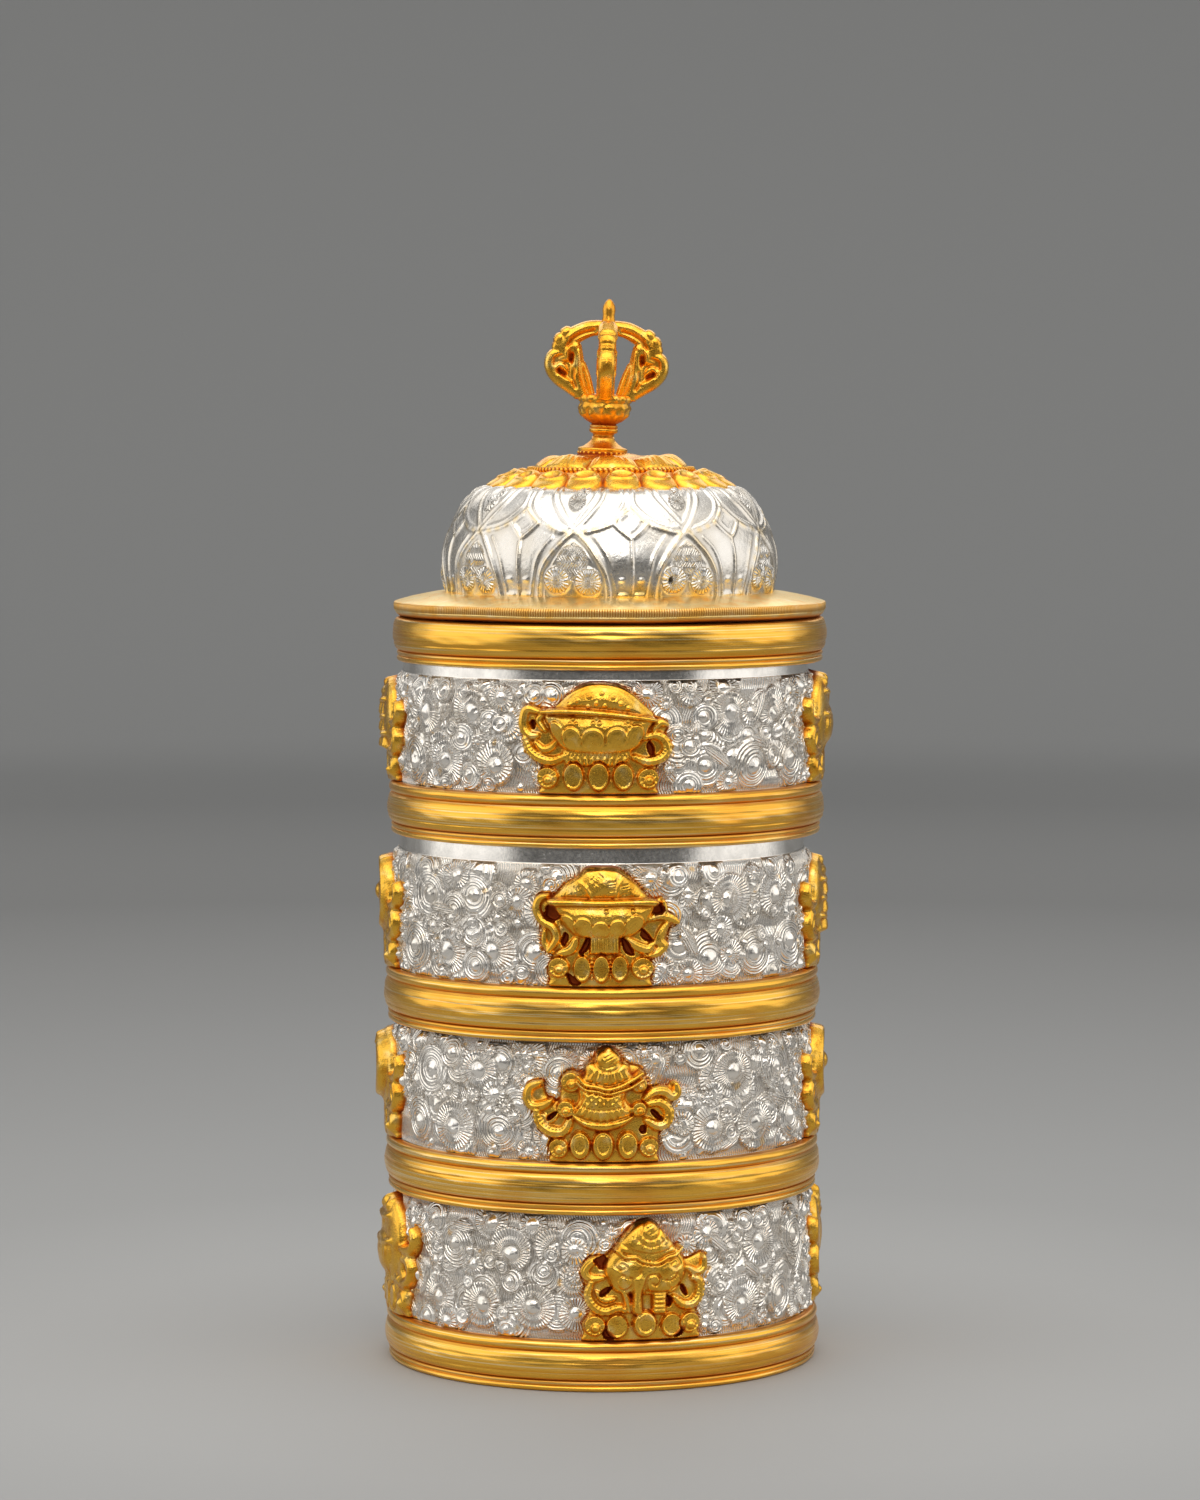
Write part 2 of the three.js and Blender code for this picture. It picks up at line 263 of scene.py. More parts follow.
def makePiece(name, shells, body, material, replaced=(), values=None, sharp=80):
    # shells are closed surfaces in millimetres; values are attributes on their points
    vertices, faces, start = [], [], 0
    for points, triangles in shells:
        vertices.append(points)
        faces.append(outward(points, triangles) + start)
        start += len(points)
    vertices, faces = np.vstack(vertices), np.vstack(faces)
    used, faces = np.unique(faces, return_inverse=True)
    faces = faces.reshape(-1, 3)
    vertices = vertices[used] * mm
    mesh = bpy.data.meshes.new(name)
    mesh.vertices.add(len(vertices))
    mesh.vertices.foreach_set("co", vertices.astype(np.float32).ravel())
    mesh.loops.add(faces.size)
    mesh.loops.foreach_set("vertex_index", faces.astype(np.int32).ravel())
    mesh.polygons.add(len(faces))
    mesh.polygons.foreach_set("loop_start", np.arange(0, faces.size, 3, dtype=np.int32))
    for attribute, numbers in (values or {}).items():
        stored = mesh.attributes.new(attribute, "FLOAT", "POINT")
        stored.data.foreach_set("value", numbers.reshape(-1)[used].astype(np.float32))
    mesh.update(calc_edges=True)
    mesh.polygons.foreach_set("use_smooth", np.ones(len(mesh.polygons), bool))
    mesh.set_sharp_from_angle(angle=math.radians(sharp))
    mesh.materials.append(material)
    piece = bpy.data.objects.new(name, mesh)
    scene.collection.objects.link(piece)
    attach(piece, body)
    if replaced:
        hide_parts(*replaced)
    return piece


def around(radius, height, angle, centreX=0.0, base=0.0):
    # radius and height for each row and angle, as points about a vertical axis
    radius, height = radius + 0 * angle, height + 0 * angle
    x = radius * np.cos(angle) + centreX
    return np.stack([x, radius * np.sin(angle), height + base], -1)


def circle(segments):
    return np.linspace(0, 2 * math.pi, segments, endpoint=False)


def closedBehind(radius, height, angle, centreX, base, closing, values):
    # a wall in relief, closed by plain rows behind it, on which its values are zero
    closing = np.array(closing)
    radius = np.vstack([radius, closing[:, :1] + 0 * angle])
    height = np.vstack([height, closing[:, 1:] + 0 * angle])
    hidden = np.zeros((len(closing), len(angle)))
    values = {name: np.vstack([field, hidden]) for name, field in values.items()}
    return closedRing(around(radius, height, angle, centreX, base)), values


def turned(profile, segments, centreX=0.0, swell=None):
    # a profile of radius and height turned about the vertical, swelling into petals where asked;
    # it closes on itself or on the axis
    profile = np.array(profile, float)
    radius, height, angle = profile[:, :1], profile[:, 1:], circle(segments)
    swollen = radius + (swell(angle, height) if swell else 0 * angle)
    onAxis = abs(profile[0, 0]) < 1e-9
    points = around(np.clip(swollen, 0, None) * (radius > 0), height, angle, centreX)
    poles = (0, len(profile) - 1) if onAxis else ()
    return surface(points, closeRows=not onAxis, closeColumns=True, poles=poles)


def arc(centre, radius, startAngle, endAngle, count):
    # points of a round stretch of a profile, angles in degrees
    t = np.radians(np.linspace(startAngle, endAngle, count))
    return [(centre[0] + radius * math.cos(a), centre[1] + radius * math.sin(a)) for a in t]


def corners(nodeName):
    low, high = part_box(nodeName)
    return np.array(low) / mm, np.array(high) / mm


def carved(profile, relief):
    # a profile moved along its own outward direction by a relief
    tangent = np.gradient(profile, axis=0)
    normal = np.stack([tangent[:, 1], -tangent[:, 0]], 1)
    normal /= np.linalg.norm(normal, axis=1)[:, None]
    return profile[:, :1] + normal[:, :1] * relief, profile[:, 1:] + normal[:, 1:] * relief, normal


def hollows(relief, reach, depth, wrap=False):
    # how far a point lies under the average of what is round it, 0 to 1
    return np.clip((blurred(relief, reach, wrap) - relief) / depth, 0, 1)


# Finishes


# Long streaks that a brush leaves round a turned piece, and fine grain.
def makeStreaks():
    tree, source, result = group(
        "brushStreaks",
        [("Along", "NodeSocketFloat", 40.0), ("Across", "NodeSocketFloat", 2200.0)],
        [("Streak", "NodeSocketFloat"), ("Fine", "NodeSocketFloat")],
    )
    place = node(tree, "ShaderNodeTexCoord").outputs["Object"]
    along, across = source.outputs["Along"], source.outputs["Across"]
    scale = node(tree, "ShaderNodeCombineXYZ", {"X": along, "Y": along, "Z": across}).outputs[0]
    stretched = node(tree, "ShaderNodeVectorMath", {0: place, 1: scale}, operation="MULTIPLY")
    for label, size, detail in (("Streak", 1.0, 4.0), ("Fine", 4.0, 3.0)):
        noise = node(
            tree,
            "ShaderNodeTexNoise",
            {"Vector": stretched.outputs[0], "Scale": size, "Detail": detail, "Roughness": 0.65},
        )
        tree.links.new(noise.outputs["Fac"], result.inputs[label])
    return tree


# Blotches that follow the object, for wear and tarnish.
def makeTarnish():
    tree, source, result = group(
        "tarnish",
        [("Scale", "NodeSocketFloat", 300.0)],
        [("Blotch", "NodeSocketFloat"), ("Grain", "NodeSocketFloat")],
    )
    place = node(tree, "ShaderNodeTexCoord").outputs["Object"]
    size = source.outputs["Scale"]
    for label, scale, detail in (("Blotch", size, 5.0), ("Grain", calc(tree, "MULTIPLY", size, 9.0), 3.0)):
        noise = node(tree, "ShaderNodeTexNoise", {"Vector": place, "Scale": scale, "Detail": detail})
        tree.links.new(noise.outputs["Fac"], result.inputs[label])
    return tree


# Engraved lines: a wave of the phase that is stored on the surface, as a height.
def makeEngraving():
    tree, source, result = group(
        "engravedLines",
        [("Phase", "NodeSocketFloat", 0.0), ("Strength", "NodeSocketFloat", 0.0)],
        [("Height", "NodeSocketFloat")],
    )
    wave = calc(tree, "SINE", source.outputs["Phase"])
    height = calc(tree, "MULTIPLY", wave, source.outputs["Strength"])
    tree.links.new(height, result.inputs["Height"])
    return tree


streaksGroup, tarnishGroup, engravingGroup = makeStreaks(), makeTarnish(), makeEngraving()


def placeGroup(tree, grouped, **inputs):
    made = tree.nodes.new("ShaderNodeGroup")
    made.node_tree = grouped
    for key, value in inputs.items():
        connect(tree, made.inputs[key], value)
    return made.outputs


def newMaterial(name, metallic=1.0):
    material = bpy.data.materials.new(name)
    material.use_nodes = True
    tree = material.node_tree
    shader = tree.nodes["Principled BSDF"]
    shader.inputs["Metallic"].default_value = metallic
    return material, tree, shader


def attribute(tree, name):
    return node(tree, "ShaderNodeAttribute", attribute_name=name).outputs["Fac"]


def roughFrom(tree, shader, noise, amount, least, cavityShade=None):
    # rougher with the noise, and in the hollows
    rough = calc(tree, "ADD", calc(tree, "MULTIPLY", noise, amount), least)
    if cavityShade is not None:
        rough = calc(tree, "ADD", rough, calc(tree, "MULTIPLY", cavityShade, 0.3), clamp=True)
    tree.links.new(rough, shader.inputs["Roughness"])


def bumpFrom(tree, shader, height, strength, distance):
    made = node(tree, "ShaderNodeBump", {"Strength": strength, "Distance": distance, "Height": height})
    tree.links.new(made.outputs["Normal"], shader.inputs["Normal"])


def engraved(tree, height):
    # a height with the engraved lines laid over it
    phase, strength = attribute(tree, "hatchPhase"), attribute(tree, "hatchStrength")
    lines = placeGroup(tree, engravingGroup, Phase=phase, Strength=strength)
    return calc(tree, "ADD", height, lines["Height"])


# groove is painted shade for the moulding's grooves; orange is wear
giltFinish = {
    "pale": (1.0, 0.80, 0.42),
    "gold": (1.0, 0.55, 0.075),
    "deep": (0.93, 0.41, 0.035),
    "orange": (0.86, 0.36, 0.04),
    "groove": (0.46, 0.13, 0.02),
    "worn": (0.50, 0.68),  # noise at which the wear starts, and is full
    "wear": 0.55,
}


def goldTones(finish, places):
    # three golds over noise: deep, two stops of the middle one, pale
    return list(zip(places, (finish["deep"], finish["gold"], finish["gold"], finish["pale"])))


def makeBrushedGilt(name, finish):
    material, tree, shader = newMaterial(name)
    streaks = placeGroup(tree, streaksGroup, Along=15.0, Across=4200.0)
    tarnish = placeGroup(tree, tarnishGroup, Scale=90.0)
    cavityShade = attribute(tree, "cavityShade")
    color = ramp(tree, streaks["Streak"], goldTones(finish, (0.32, 0.45, 0.54, 0.66)))
    worn = spread(tree, tarnish["Blotch"], *finish["worn"])
    color = mixColor(tree, calc(tree, "MULTIPLY", worn, finish["wear"]), color, finish["orange"])
    # painted shade: the grooves are painted in the groove colour by the cavity share
    color = mixColor(tree, cavityShade, color, finish["groove"])
    tree.links.new(color, shader.inputs["Base Color"])
    roughFrom(tree, shader, streaks["Fine"], amount=0.24, least=0.13, cavityShade=cavityShade)
    height = calc(tree, "ADD", streaks["Fine"], streaks["Streak"])
    bumpFrom(tree, shader, height, strength=0.35, distance=0.000012)
    return material


def makeCastGilt(name, finish, least, bumpDistance):
    material, tree, shader = newMaterial(name)
    tarnish = placeGroup(tree, tarnishGroup, Scale=420.0)
    cavityShade = attribute(tree, "cavityShade")
    bright = ramp(tree, tarnish["Blotch"], goldTones(finish, (0.34, 0.47, 0.55, 0.70)))
    # painted shade: hollows take the shade colour, the deepest ones the groove colour
    color = mixColor(tree, spread(tree, cavityShade, 0.0, 0.55), bright, finish["shade"])
    color = mixColor(tree, spread(tree, cavityShade, 0.45, 1.0), color, finish["groove"])
    tree.links.new(color, shader.inputs["Base Color"])
    roughFrom(tree, shader, tarnish["Grain"], amount=0.2, least=least, cavityShade=cavityShade)
    bumpFrom(tree, shader, tarnish["Grain"], strength=0.4, distance=bumpDistance)
    return material


# the recess colour is painted shade for the hollows of the chased relief
bandFinish = {
    "bright": (0.99, 0.94, 0.87),
    "warm": (0.89, 0.82, 0.72),
    "recessShade": (0.38, 0.33, 0.28),
    "stain": (0.95, 0.60, 0.18),
}

domeFinish = {
    "bright": (0.86, 0.82, 0.76),
    "warm": (0.77, 0.71, 0.62),
    "recessShade": (0.36, 0.31, 0.25),
    "stain": (0.97, 0.66, 0.20),
}


def makeSilver(name, finish, least, grain):
    material, tree, shader = newMaterial(name)
    tarnish = placeGroup(tree, tarnishGroup, Scale=220.0)
    cavityShade, stain = attribute(tree, "cavityShade"), attribute(tree, "stain")
    color = ramp(tree, tarnish["Blotch"], [(0.40, finish["bright"]), (0.68, finish["warm"])])
    # painted shade: the hollows are darkened by the cavity share
    color = mixColor(tree, cavityShade, color, finish["recessShade"])
    color = mixColor(tree, stain, color, finish["stain"])
    tree.links.new(color, shader.inputs["Base Color"])
    roughFrom(tree, shader, tarnish["Grain"], amount=0.16, least=least, cavityShade=cavityShade)
    height = calc(tree, "MULTIPLY", tarnish["Grain"], grain)
    bumpFrom(tree, shader, engraved(tree, height), strength=0.9, distance=0.00014)
    return material


def makePlainMetal(name, color, least):
    material, tree, shader = newMaterial(name)
    tarnish = placeGroup(tree, tarnishGroup, Scale=240.0)
    darker = tuple(0.72 * c for c in color)
    mottled = ramp(tree, tarnish["Blotch"], [(0.40, color), (0.75, darker)])
    tree.links.new(mottled, shader.inputs["Base Color"])
    roughFrom(tree, shader, tarnish["Grain"], amount=0.2, least=least)
    bumpFrom(tree, shader, tarnish["Grain"], strength=0.3, distance=0.00005)
    return material


# shade and groove are painted shade for the hollows, groove for the deepest
emblemFinish = {
    "pale": (0.98, 0.66, 0.20),
    "gold": (0.90, 0.50, 0.06),
    "deep": (0.78, 0.36, 0.03),
    "shade": (0.56, 0.17, 0.015),
    "groove": (0.32, 0.06, 0.012),
}

lidFinish = {
    "pale": (1.0, 0.70, 0.20),
    "gold": (0.97, 0.51, 0.055),
    "deep": (0.88, 0.38, 0.03),
    "shade": (0.66, 0.21, 0.02),
    "groove": (0.34, 0.06, 0.01),
}

flangeFinish = {
    "pale": (1.0, 0.84, 0.47),
    "gold": (1.0, 0.73, 0.28),
    "deep": (1.0, 0.60, 0.14),
    "shade": (0.78, 0.34, 0.05),
    "groove": (0.25, 0.05, 0.02),
}

brushedGilt = makeBrushedGilt("brushedGilt", giltFinish)
flangeGilt = makeCastGilt("flangeGilt", flangeFinish, least=0.20, bumpDistance=0.00005)
castGilt = makeCastGilt("castGilt", emblemFinish, least=0.14, bumpDistance=0.00013)
lidGilt = makeCastGilt("lidGilt", lidFinish, least=0.16, bumpDistance=0.0001)
reliefSilver = makeSilver("reliefSilver", bandFinish, least=0.14, grain=0.4)
domeSilver = makeSilver("domeSilver", domeFinish, least=0.18, grain=0.3)
plainSilver = makePlainMetal("plainSilver", (0.92, 0.88, 0.82), least=0.13)
workedCopper = makePlainMetal("workedCopper", (0.74, 0.38, 0.22), least=0.3)
plainSteel = makePlainMetal("plainSteel", (0.42, 0.42, 0.41), least=0.3)
print("finishes made")

# Floor and backdrop

sweepPaper = {
    "front": -2.0,
    "bend": 1.3,
    "bendRadius": 0.8,
    "height": 2.2,
    "halfWidth": 2.6,
    "reach": 1.4,
    "roughness": 0.7,
    "warmth": 0.99,  # blue against red and green
    # painted light falloff: how far from the pot, as a share of the reach, and how light the paper is
    # painted there
    "paintedFalloff": [
        (0.02, 0.36),
        (0.07, 0.345),
        (0.12, 0.29),
        (0.205, 0.258),
        (0.335, 0.218),
        (0.52, 0.178),
        (0.79, 0.24),
        (1.0, 0.355),
    ],
}


def makeSweep(spec):
    # a level floor that curves up into a backdrop far behind
    profile = [(spec["front"], 0.0)]
    profile += arc((spec["bend"], spec["bendRadius"]), spec["bendRadius"], -90, 0, 24)
    profile.append((spec["bend"] + spec["bendRadius"], spec["height"]))
    profile = np.array(profile)
    x = np.array([-1, 1]) * spec["halfWidth"]
    flat = 0 * x + 0 * profile[:, :1]
    points = np.stack([x + flat, profile[:, :1] + flat, profile[:, 1:] + flat], -1)
    vertices, faces = surface(points)
    mesh = bpy.data.meshes.new("sweep")
    mesh.from_pydata(vertices.tolist(), [], faces.tolist())
    mesh.polygons.foreach_set("use_smooth", np.ones(len(mesh.polygons), bool))
    material, tree, shader = newMaterial("sweepPaper", 0.0)
    place = node(tree, "ShaderNodeTexCoord").outputs["Object"]
    reach = node(tree, "ShaderNodeVectorMath", {0: place}, operation="LENGTH").outputs["Value"]
    share = spread(tree, reach, 0.0, spec["reach"])
    # painted light: the paper is lighter near the pot, darker further off and lighter again up the
    # backdrop, in place of how the lamps light it
    color = ramp(tree, share, [(at, (tone, tone, spec["warmth"] * tone)) for at, tone in spec["paintedFalloff"]])
    tree.links.new(color, shader.inputs["Base Color"])
    shader.inputs["Roughness"].default_value = spec["roughness"]
    mesh.materials.append(material)
    sweep = bpy.data.objects.new("sweep", mesh)
    scene.collection.objects.link(sweep)


makeSweep(sweepPaper)

# Places of the tiers

tierNames = ["tier_1", "tier_2", "tier_3", "tier_4"]
bandFace = 33.1  # outside of a silver band before its relief
bandAround = 2 * math.pi * bandFace
turns = {"tier_1": 11, "tier_2": 1, "tier_3": 0, "tier_4": -2}  # degrees
# how far each body stands to the right of the axis
shifts = {"tier_1": 0.0, "tier_2": 0.0, "tier_3": 0.0, "tier_4": 0.6, "lid": 1.25}
lidShift = shifts["lid"]

# Gilt mouldings

moulding = {
    "bore": 33.4,
    "crest": 35.05,
    "lidCrest": 34.75,
    "grooveDepth": 1.0,  # under the crest
    "lipDepth": 0.65,
    "topDepth": 0.62,
    "lidTopDepth": 0.85,
    "segments": 300,
    "wobble": 0.018,  # how far the hand-worked surface wanders
    "wanders": (33.6, 33.8),  # radius at which it starts to, and does so fully
}

# how a groove is found, for the painted shade laid in it: reach and slope of the cone of crests, depth of a
# full groove, hidden back
grooves = {"reach": 1.4, "slope": 0.2, "full": 0.62, "behind": 0.15}


def mouldingProfile(height, topBead, crest):
    # lip, fine bead, fat round with a worn second ridge, groove, top bead
    bore, groove, lip = moulding["bore"], crest - moulding["grooveDepth"], crest - moulding["lipDepth"]
    crown = height - 2.05 if topBead else height - 0.15
    notch = crest - moulding["topDepth" if topBead else "lidTopDepth"]
    profile = [(bore, 0.0), (lip - 0.44, 0.0)]
    profile += arc((lip - 0.45, 0.47), 0.45, -80, 70, 8)
    profile += [(lip - 0.22, 0.96)]
    profile += arc((lip - 0.36, 1.34), 0.36, -65, 65, 7)
    share = np.linspace(0, 1, 31)
    radius = groove + (notch - groove) * share
    radius += (crest - radius) * np.sqrt(1 - (2 * share - 1) ** 2)
    radius -= bump(share - 0.27, 0.035, 0.10) + bump(share - 0.70, 0.04, 0.045)
    profile += list(zip(radius, 1.76 + (crown - 1.76) * share))
    if topBead:
        profile += [(notch - 0.03, crown + 0.1)] + arc((33.88, height - 0.98), 0.86, -68, 84, 13)
    return np.array(profile + [(bore, height)])


def grooveDepth(profile):
    # how far each profile point lies under a cone of the crests near it
    along = np.hypot(*(profile[:, None] - profile[None]).transpose(2, 0, 1))
    cone = profile[None, :, 0] - grooves["slope"] * along
    crest = np.max(np.where(along < grooves["reach"], cone, 0), 1)
    depth = np.clip((crest - profile[:, 0]) / grooves["full"], 0, 1) ** 1.5
    depth[[0, -1]] = grooves["behind"]
    return depth


def makeMoulding(name, body, topBead, crest):
    low, high = corners(name)
    height, base = high[2] - low[2], low[2]
    profile = mouldingProfile(height, topBead, crest)
    angle = circle(moulding["segments"])
    radius, z = profile[:, :1], profile[:, 1:]
    wander = np.sin(7 * angle + 2 * z + base) + 0.7 * np.sin(13 * angle - 3 * z + 2 * base)
    wander = wander + 0.6 * np.sin(31 * angle + 4 * z)
    outside = smooth(*moulding["wanders"], radius)
    points = around(radius + moulding["wobble"] * wander * outside, z, angle, shifts[body], base)
    makePiece(
        name + "_gilt",
        [closedRing(points)],
        body,
        brushedGilt,
        (name,),
        # painted shade: the grooves of the profile are darkened by their depth under the crests
        {"cavityShade": grooveDepth(profile)[:, None] + 0 * angle},
        sharp=50,
    )


for tier in tierNames:
    makeMoulding(tier + "_moulding", tier, True, moulding["crest"])
makeMoulding("lid_moulding", "lid", False, moulding["lidCrest"])
print("mouldings turned")

# Cups, seats and the foot plate: plain turned sheet

cup = {
    "outside": 32.45,
    "inside": 31.2,
    "floor": 1.2,
    "footRound": 1.2,  # radius of the corner under the floor, and of the one over it
    "floorRound": 1.5,
    "segments": 180,
}

seat = {"inside": 27.5, "edge": 0.2}


def makeTurned(name, profile, body, material, replaced):
    shell = turned(profile, cup["segments"], shifts[body])
    makePiece(name, [shell], body, material, (replaced,), sharp=35)


def makeCup(tier):
    low, high = corners(tier + "_cup")
    outside, inside = cup["outside"], cup["inside"]
    under, over = cup["footRound"], cup["floorRound"]
    floor, rim = low[2] + cup["floor"], (outside - inside) / 2
    profile = [(0.0, low[2]), (outside - under, low[2])]
    profile += arc((outside - under, low[2] + under), under, -75, 0, 6)
    profile += arc((inside + rim, high[2] - rim), rim, 0, 180, 9)
    profile += arc((inside - over, floor + over), over, 0, -90, 7)
    profile += [(0.0, floor)]
    makeTurned(tier + "_cup_spun", profile, tier, plainSilver, tier + "_cup")


def makeSeat(name, body, inner):
    # a flat ring with its edges sloped off, or a disc where it has no inner radius
    low, high = corners(name)
    edge, outside = seat["edge"], cup["outside"]
    start = inner + edge if inner else 0.0
    outline = [(start, low[2]), (outside - edge, low[2]), (outside, low[2] + edge)]
    outline += [(outside, high[2] - edge), (outside - edge, high[2]), (start, high[2])]
    if inner:
        outline += [(inner, high[2] - edge), (inner, low[2] + edge)]
    makeTurned(name + "_sheet", outline, body, workedCopper, name)


for tier in tierNames:
    makeCup(tier)
    if tier == "tier_1":
        makeSeat("foot_plate", tier, 0)
    else:
        makeSeat(tier + "_seat_ring", tier, seat["inside"])
makeSeat("lid_seat_ring", "lid", seat["inside"])
print("cups spun")

# Emblems: each one a relief drawn flat, x along the band and y up from the moulding


class Relief:
    # h is the height above the band's face, -1 off the emblem; dark marks what is open, which is painted as
    # shade
    def __init__(self, width, height, step):
        self.xs = np.arange(-width / 2, width / 2 + step / 2, step)
        self.ys = np.arange(-0.4, height + step / 2, step)
        self.x, self.y = np.meshgrid(self.xs, self.ys)
        self.h = np.full_like(self.x, -1.0)
        self.dark = np.zeros_like(self.x)

    def oval(self, cx, cy, rx, ry, tilt=0.0):
        # distance from a centre, 1 on the outline of the oval
        c, s = math.cos(tilt), math.sin(tilt)
        dx, dy = self.x - cx, self.y - cy
        return np.hypot((dx * c + dy * s) / rx, (dy * c - dx * s) / ry)

    def within(self, outline, curved=True):
        # distance inside a closed outline, negative outside it
        points = np.array(outline, float)
        if curved:
            wrapped = np.vstack([points[-2:], points, points[:2]])
            points = smoothPath(wrapped, 5 * len(wrapped) - 4)[10:-10]
        inside = np.zeros(self.x.shape, bool)
        nearest = np.full_like(self.x, 99.0)
        for (ax, ay), (bx, by) in zip(points, np.roll(points, -1, 0)):
            dx, dy = self.x - ax, self.y - ay
            ex, ey = bx - ax, by - ay
            share = np.clip((dx * ex + dy * ey) / (ex * ex + ey * ey + 1e-9), 0, 1)
            nearest = np.minimum(nearest, np.hypot(dx - ex * share, dy - ey * share))
            if ay != by:
                inside ^= ((ay > self.y) != (by > self.y)) & (dx < ex * dy / ey)
        return np.where(inside, nearest, -nearest)

    def course(self, path, reach):
        # near a smooth path: the distance from it, the share of it passed, and the length
        line = smoothPath(path, 14 * len(path))
        low, high = line.min(0) - reach, line.max(0) + reach
        rows = slice(*np.searchsorted(self.ys, (low[1], high[1])))
        columns = slice(*np.searchsorted(self.xs, (low[0], high[0])))
        x, y = self.x[rows, columns, None], self.y[rows, columns, None]
        away = np.hypot(x - line[:, 0], y - line[:, 1])
        nearest = away.argmin(-1)
        return (rows, columns), away.min(-1), nearest / (len(line) - 1), lengthAlong(line)[nearest]

    def add(self, shape, where):
        self.h = np.where(where, np.maximum(self.h, shape), self.h)

    def mound(self, cx, cy, rx, ry, top, tilt=0.0, low=0.9):
        q = self.oval(cx, cy, rx, ry, tilt)
        self.add(low + (top - low) * roof(q), q < 1)
        return q

    def pillow(self, outline, low, top, edge, curved=True):
        # stands at low on its outline and rises to top over the given distance
        inside = self.within(outline, curved)
        self.add(low + (top - low) * roof(1 - np.clip(inside / edge, 0, 1)), inside > 0)
        return inside

    def rimmed(self, cx, cy, rx, ry, top, rings=1):
        # an oval with raised rings inside its outline
        q = self.oval(cx, cy, rx, ry)
        reach = (1 - q) * min(rx, ry)
        shape = top - 0.45 + 0.15 * roof(q)
        for i in range(rings):
            shape = shape + bump(reach - 0.26 - 0.42 * i, 0.15, 0.42 - 0.12 * i)
        shape = np.minimum(shape, 0.8 + 5.0 * reach)
        self.h = np.where((q < 1) & (self.h < top + 0.3), shape, self.h)
        return q

    def ribbon(self, path, width, top, beads=0.0, ends=0.55, low=1.0, folds=1.5):
        # a rounded strip along a smooth path, thinner at its ends, with folds along it
        where, away, share, along = self.course(path, width)
        q = away / (width / 2 * (ends + (1 - ends) * np.sin(math.pi * share) ** 0.6))
        shape = low + (top - low) * roof(q) + 0.12 * np.cos(2 * math.pi * folds * q) * roof(q)
        if beads:
            shape = shape + 0.15 * np.cos(along * beads) * smooth(0.3, 0.5, q) * smooth(1, 0.8, q)
        h = self.h[where]
        self.h[where] = np.where((q < 1) & (h < top + 0.2), shape, h)

    def line(self, path, width, depth):
        # a groove, or a ridge where depth is negative, along a smooth path
        where, away, _, _ = self.course(path, 3 * width)
        self.h[where] -= bump(away, width, depth) * (self.h[where] > 0)

    def dot(self, cx, cy, radius, rise):
        q = self.oval(cx, cy, radius, radius)
        groove = np.exp(-(((q - 1.15) / 0.25) ** 2)) * 0.35 * rise
        self.h = self.h + (rise * roof(q) - groove) * (self.h > 0)

    def ringed(self, q, radius, width, depth):
        # a groove along the outline of an oval
        self.h = self.h - bump((q - 1) * radius, width, depth) * (self.h > 0)

    def hatch(self, where, wave, depth):
        self.h = self.h + depth * np.where(where, np.sin(wave), 0)

    def open(self, outline):
        # lowered to just over the band, and marked as dark for painted shade in the opening
        inside = self.within(outline)
        self.h = np.where(inside > 0, np.minimum(self.h, 0.15), self.h)
        self.dark = np.maximum(self.dark, smooth(-0.15, 0.15, inside))


def mirrored(path):
    return [(-x, y) for x, y in path]


def ovalOutline(cx, cy, rx, ry, tilt=0.0):
    t = circle(10)
    x, y = rx * np.cos(t), ry * np.sin(t)
    c, s = math.cos(tilt), math.sin(tilt)
    return list(zip(cx + x * c - y * s, cy + x * s + y * c))


def uprights(r, petals, top, rings=1):
    # lotus petals of the foot: rimmed ovals with fine upright lines
    for cx, cy, rx, ry in petals:
        q = r.rimmed(cx, cy, rx, ry, top, rings)
        r.hatch(q < 0.66, (r.x - cx) * 13, 0.05)


def roundel(r, cx, cy, radius, top=2.2):
    # a disc of radial lines round a boss
    q = r.rimmed(cx, cy, radius, radius, top)
    turn = np.arctan2(r.y - cy, r.x - cx)
    r.hatch((q < 0.8) & (q > 0.35), abs(turn) * 13, 0.08)
    r.mound(cx + 0.1, cy - 0.35, 0.4 * radius, 0.4 * radius, top + 0.35, low=top - 0.3)


def strokes(r, cx, cy, length, lean, pitch, count=4, depth=0.2):
    # a few short engraved strokes side by side, across the lean
    ax, ay = math.cos(lean), math.sin(lean)
    for i in range(count):
        shift = (i - (count - 1) / 2) * pitch
        px, py = cx - ay * shift, cy + ax * shift
        ends = [(px - ax * length / 2, py - ay * length / 2), (px + ax * length / 2, py + ay * length / 2)]
        r.line(ends, 0.12, depth)


def bowlPetal(r, cx, cy, rx, ry, tilt):
    q = r.oval(cx, cy, rx, ry, tilt)
    above = smooth(cy - 0.8 * ry, cy - 0.3 * ry, r.y)
    reach = (q - 1) * min(rx, ry)
    r.h = r.h + (bump(reach + 0.12, 0.16, 0.26) - bump(reach - 0.14, 0.13, 0.26)) * above * (r.h > 0)
    strokes(r, cx, cy - 0.35 * ry, 0.9 * ry, math.pi / 2 + tilt, count=3, pitch=0.42, depth=0.16)


def tripleDots(r, cx, cy):
    for dx, dy in ((-0.45, -0.25), (0.45, -0.25), (0, 0.5)):
        r.dot(cx + dx, cy + dy, 0.32, 0.28)


def backPlate(r, outline):
    # the ground that the parts of a front emblem stand on
    r.pillow(outline, 0.3, 1.3, 2.4)


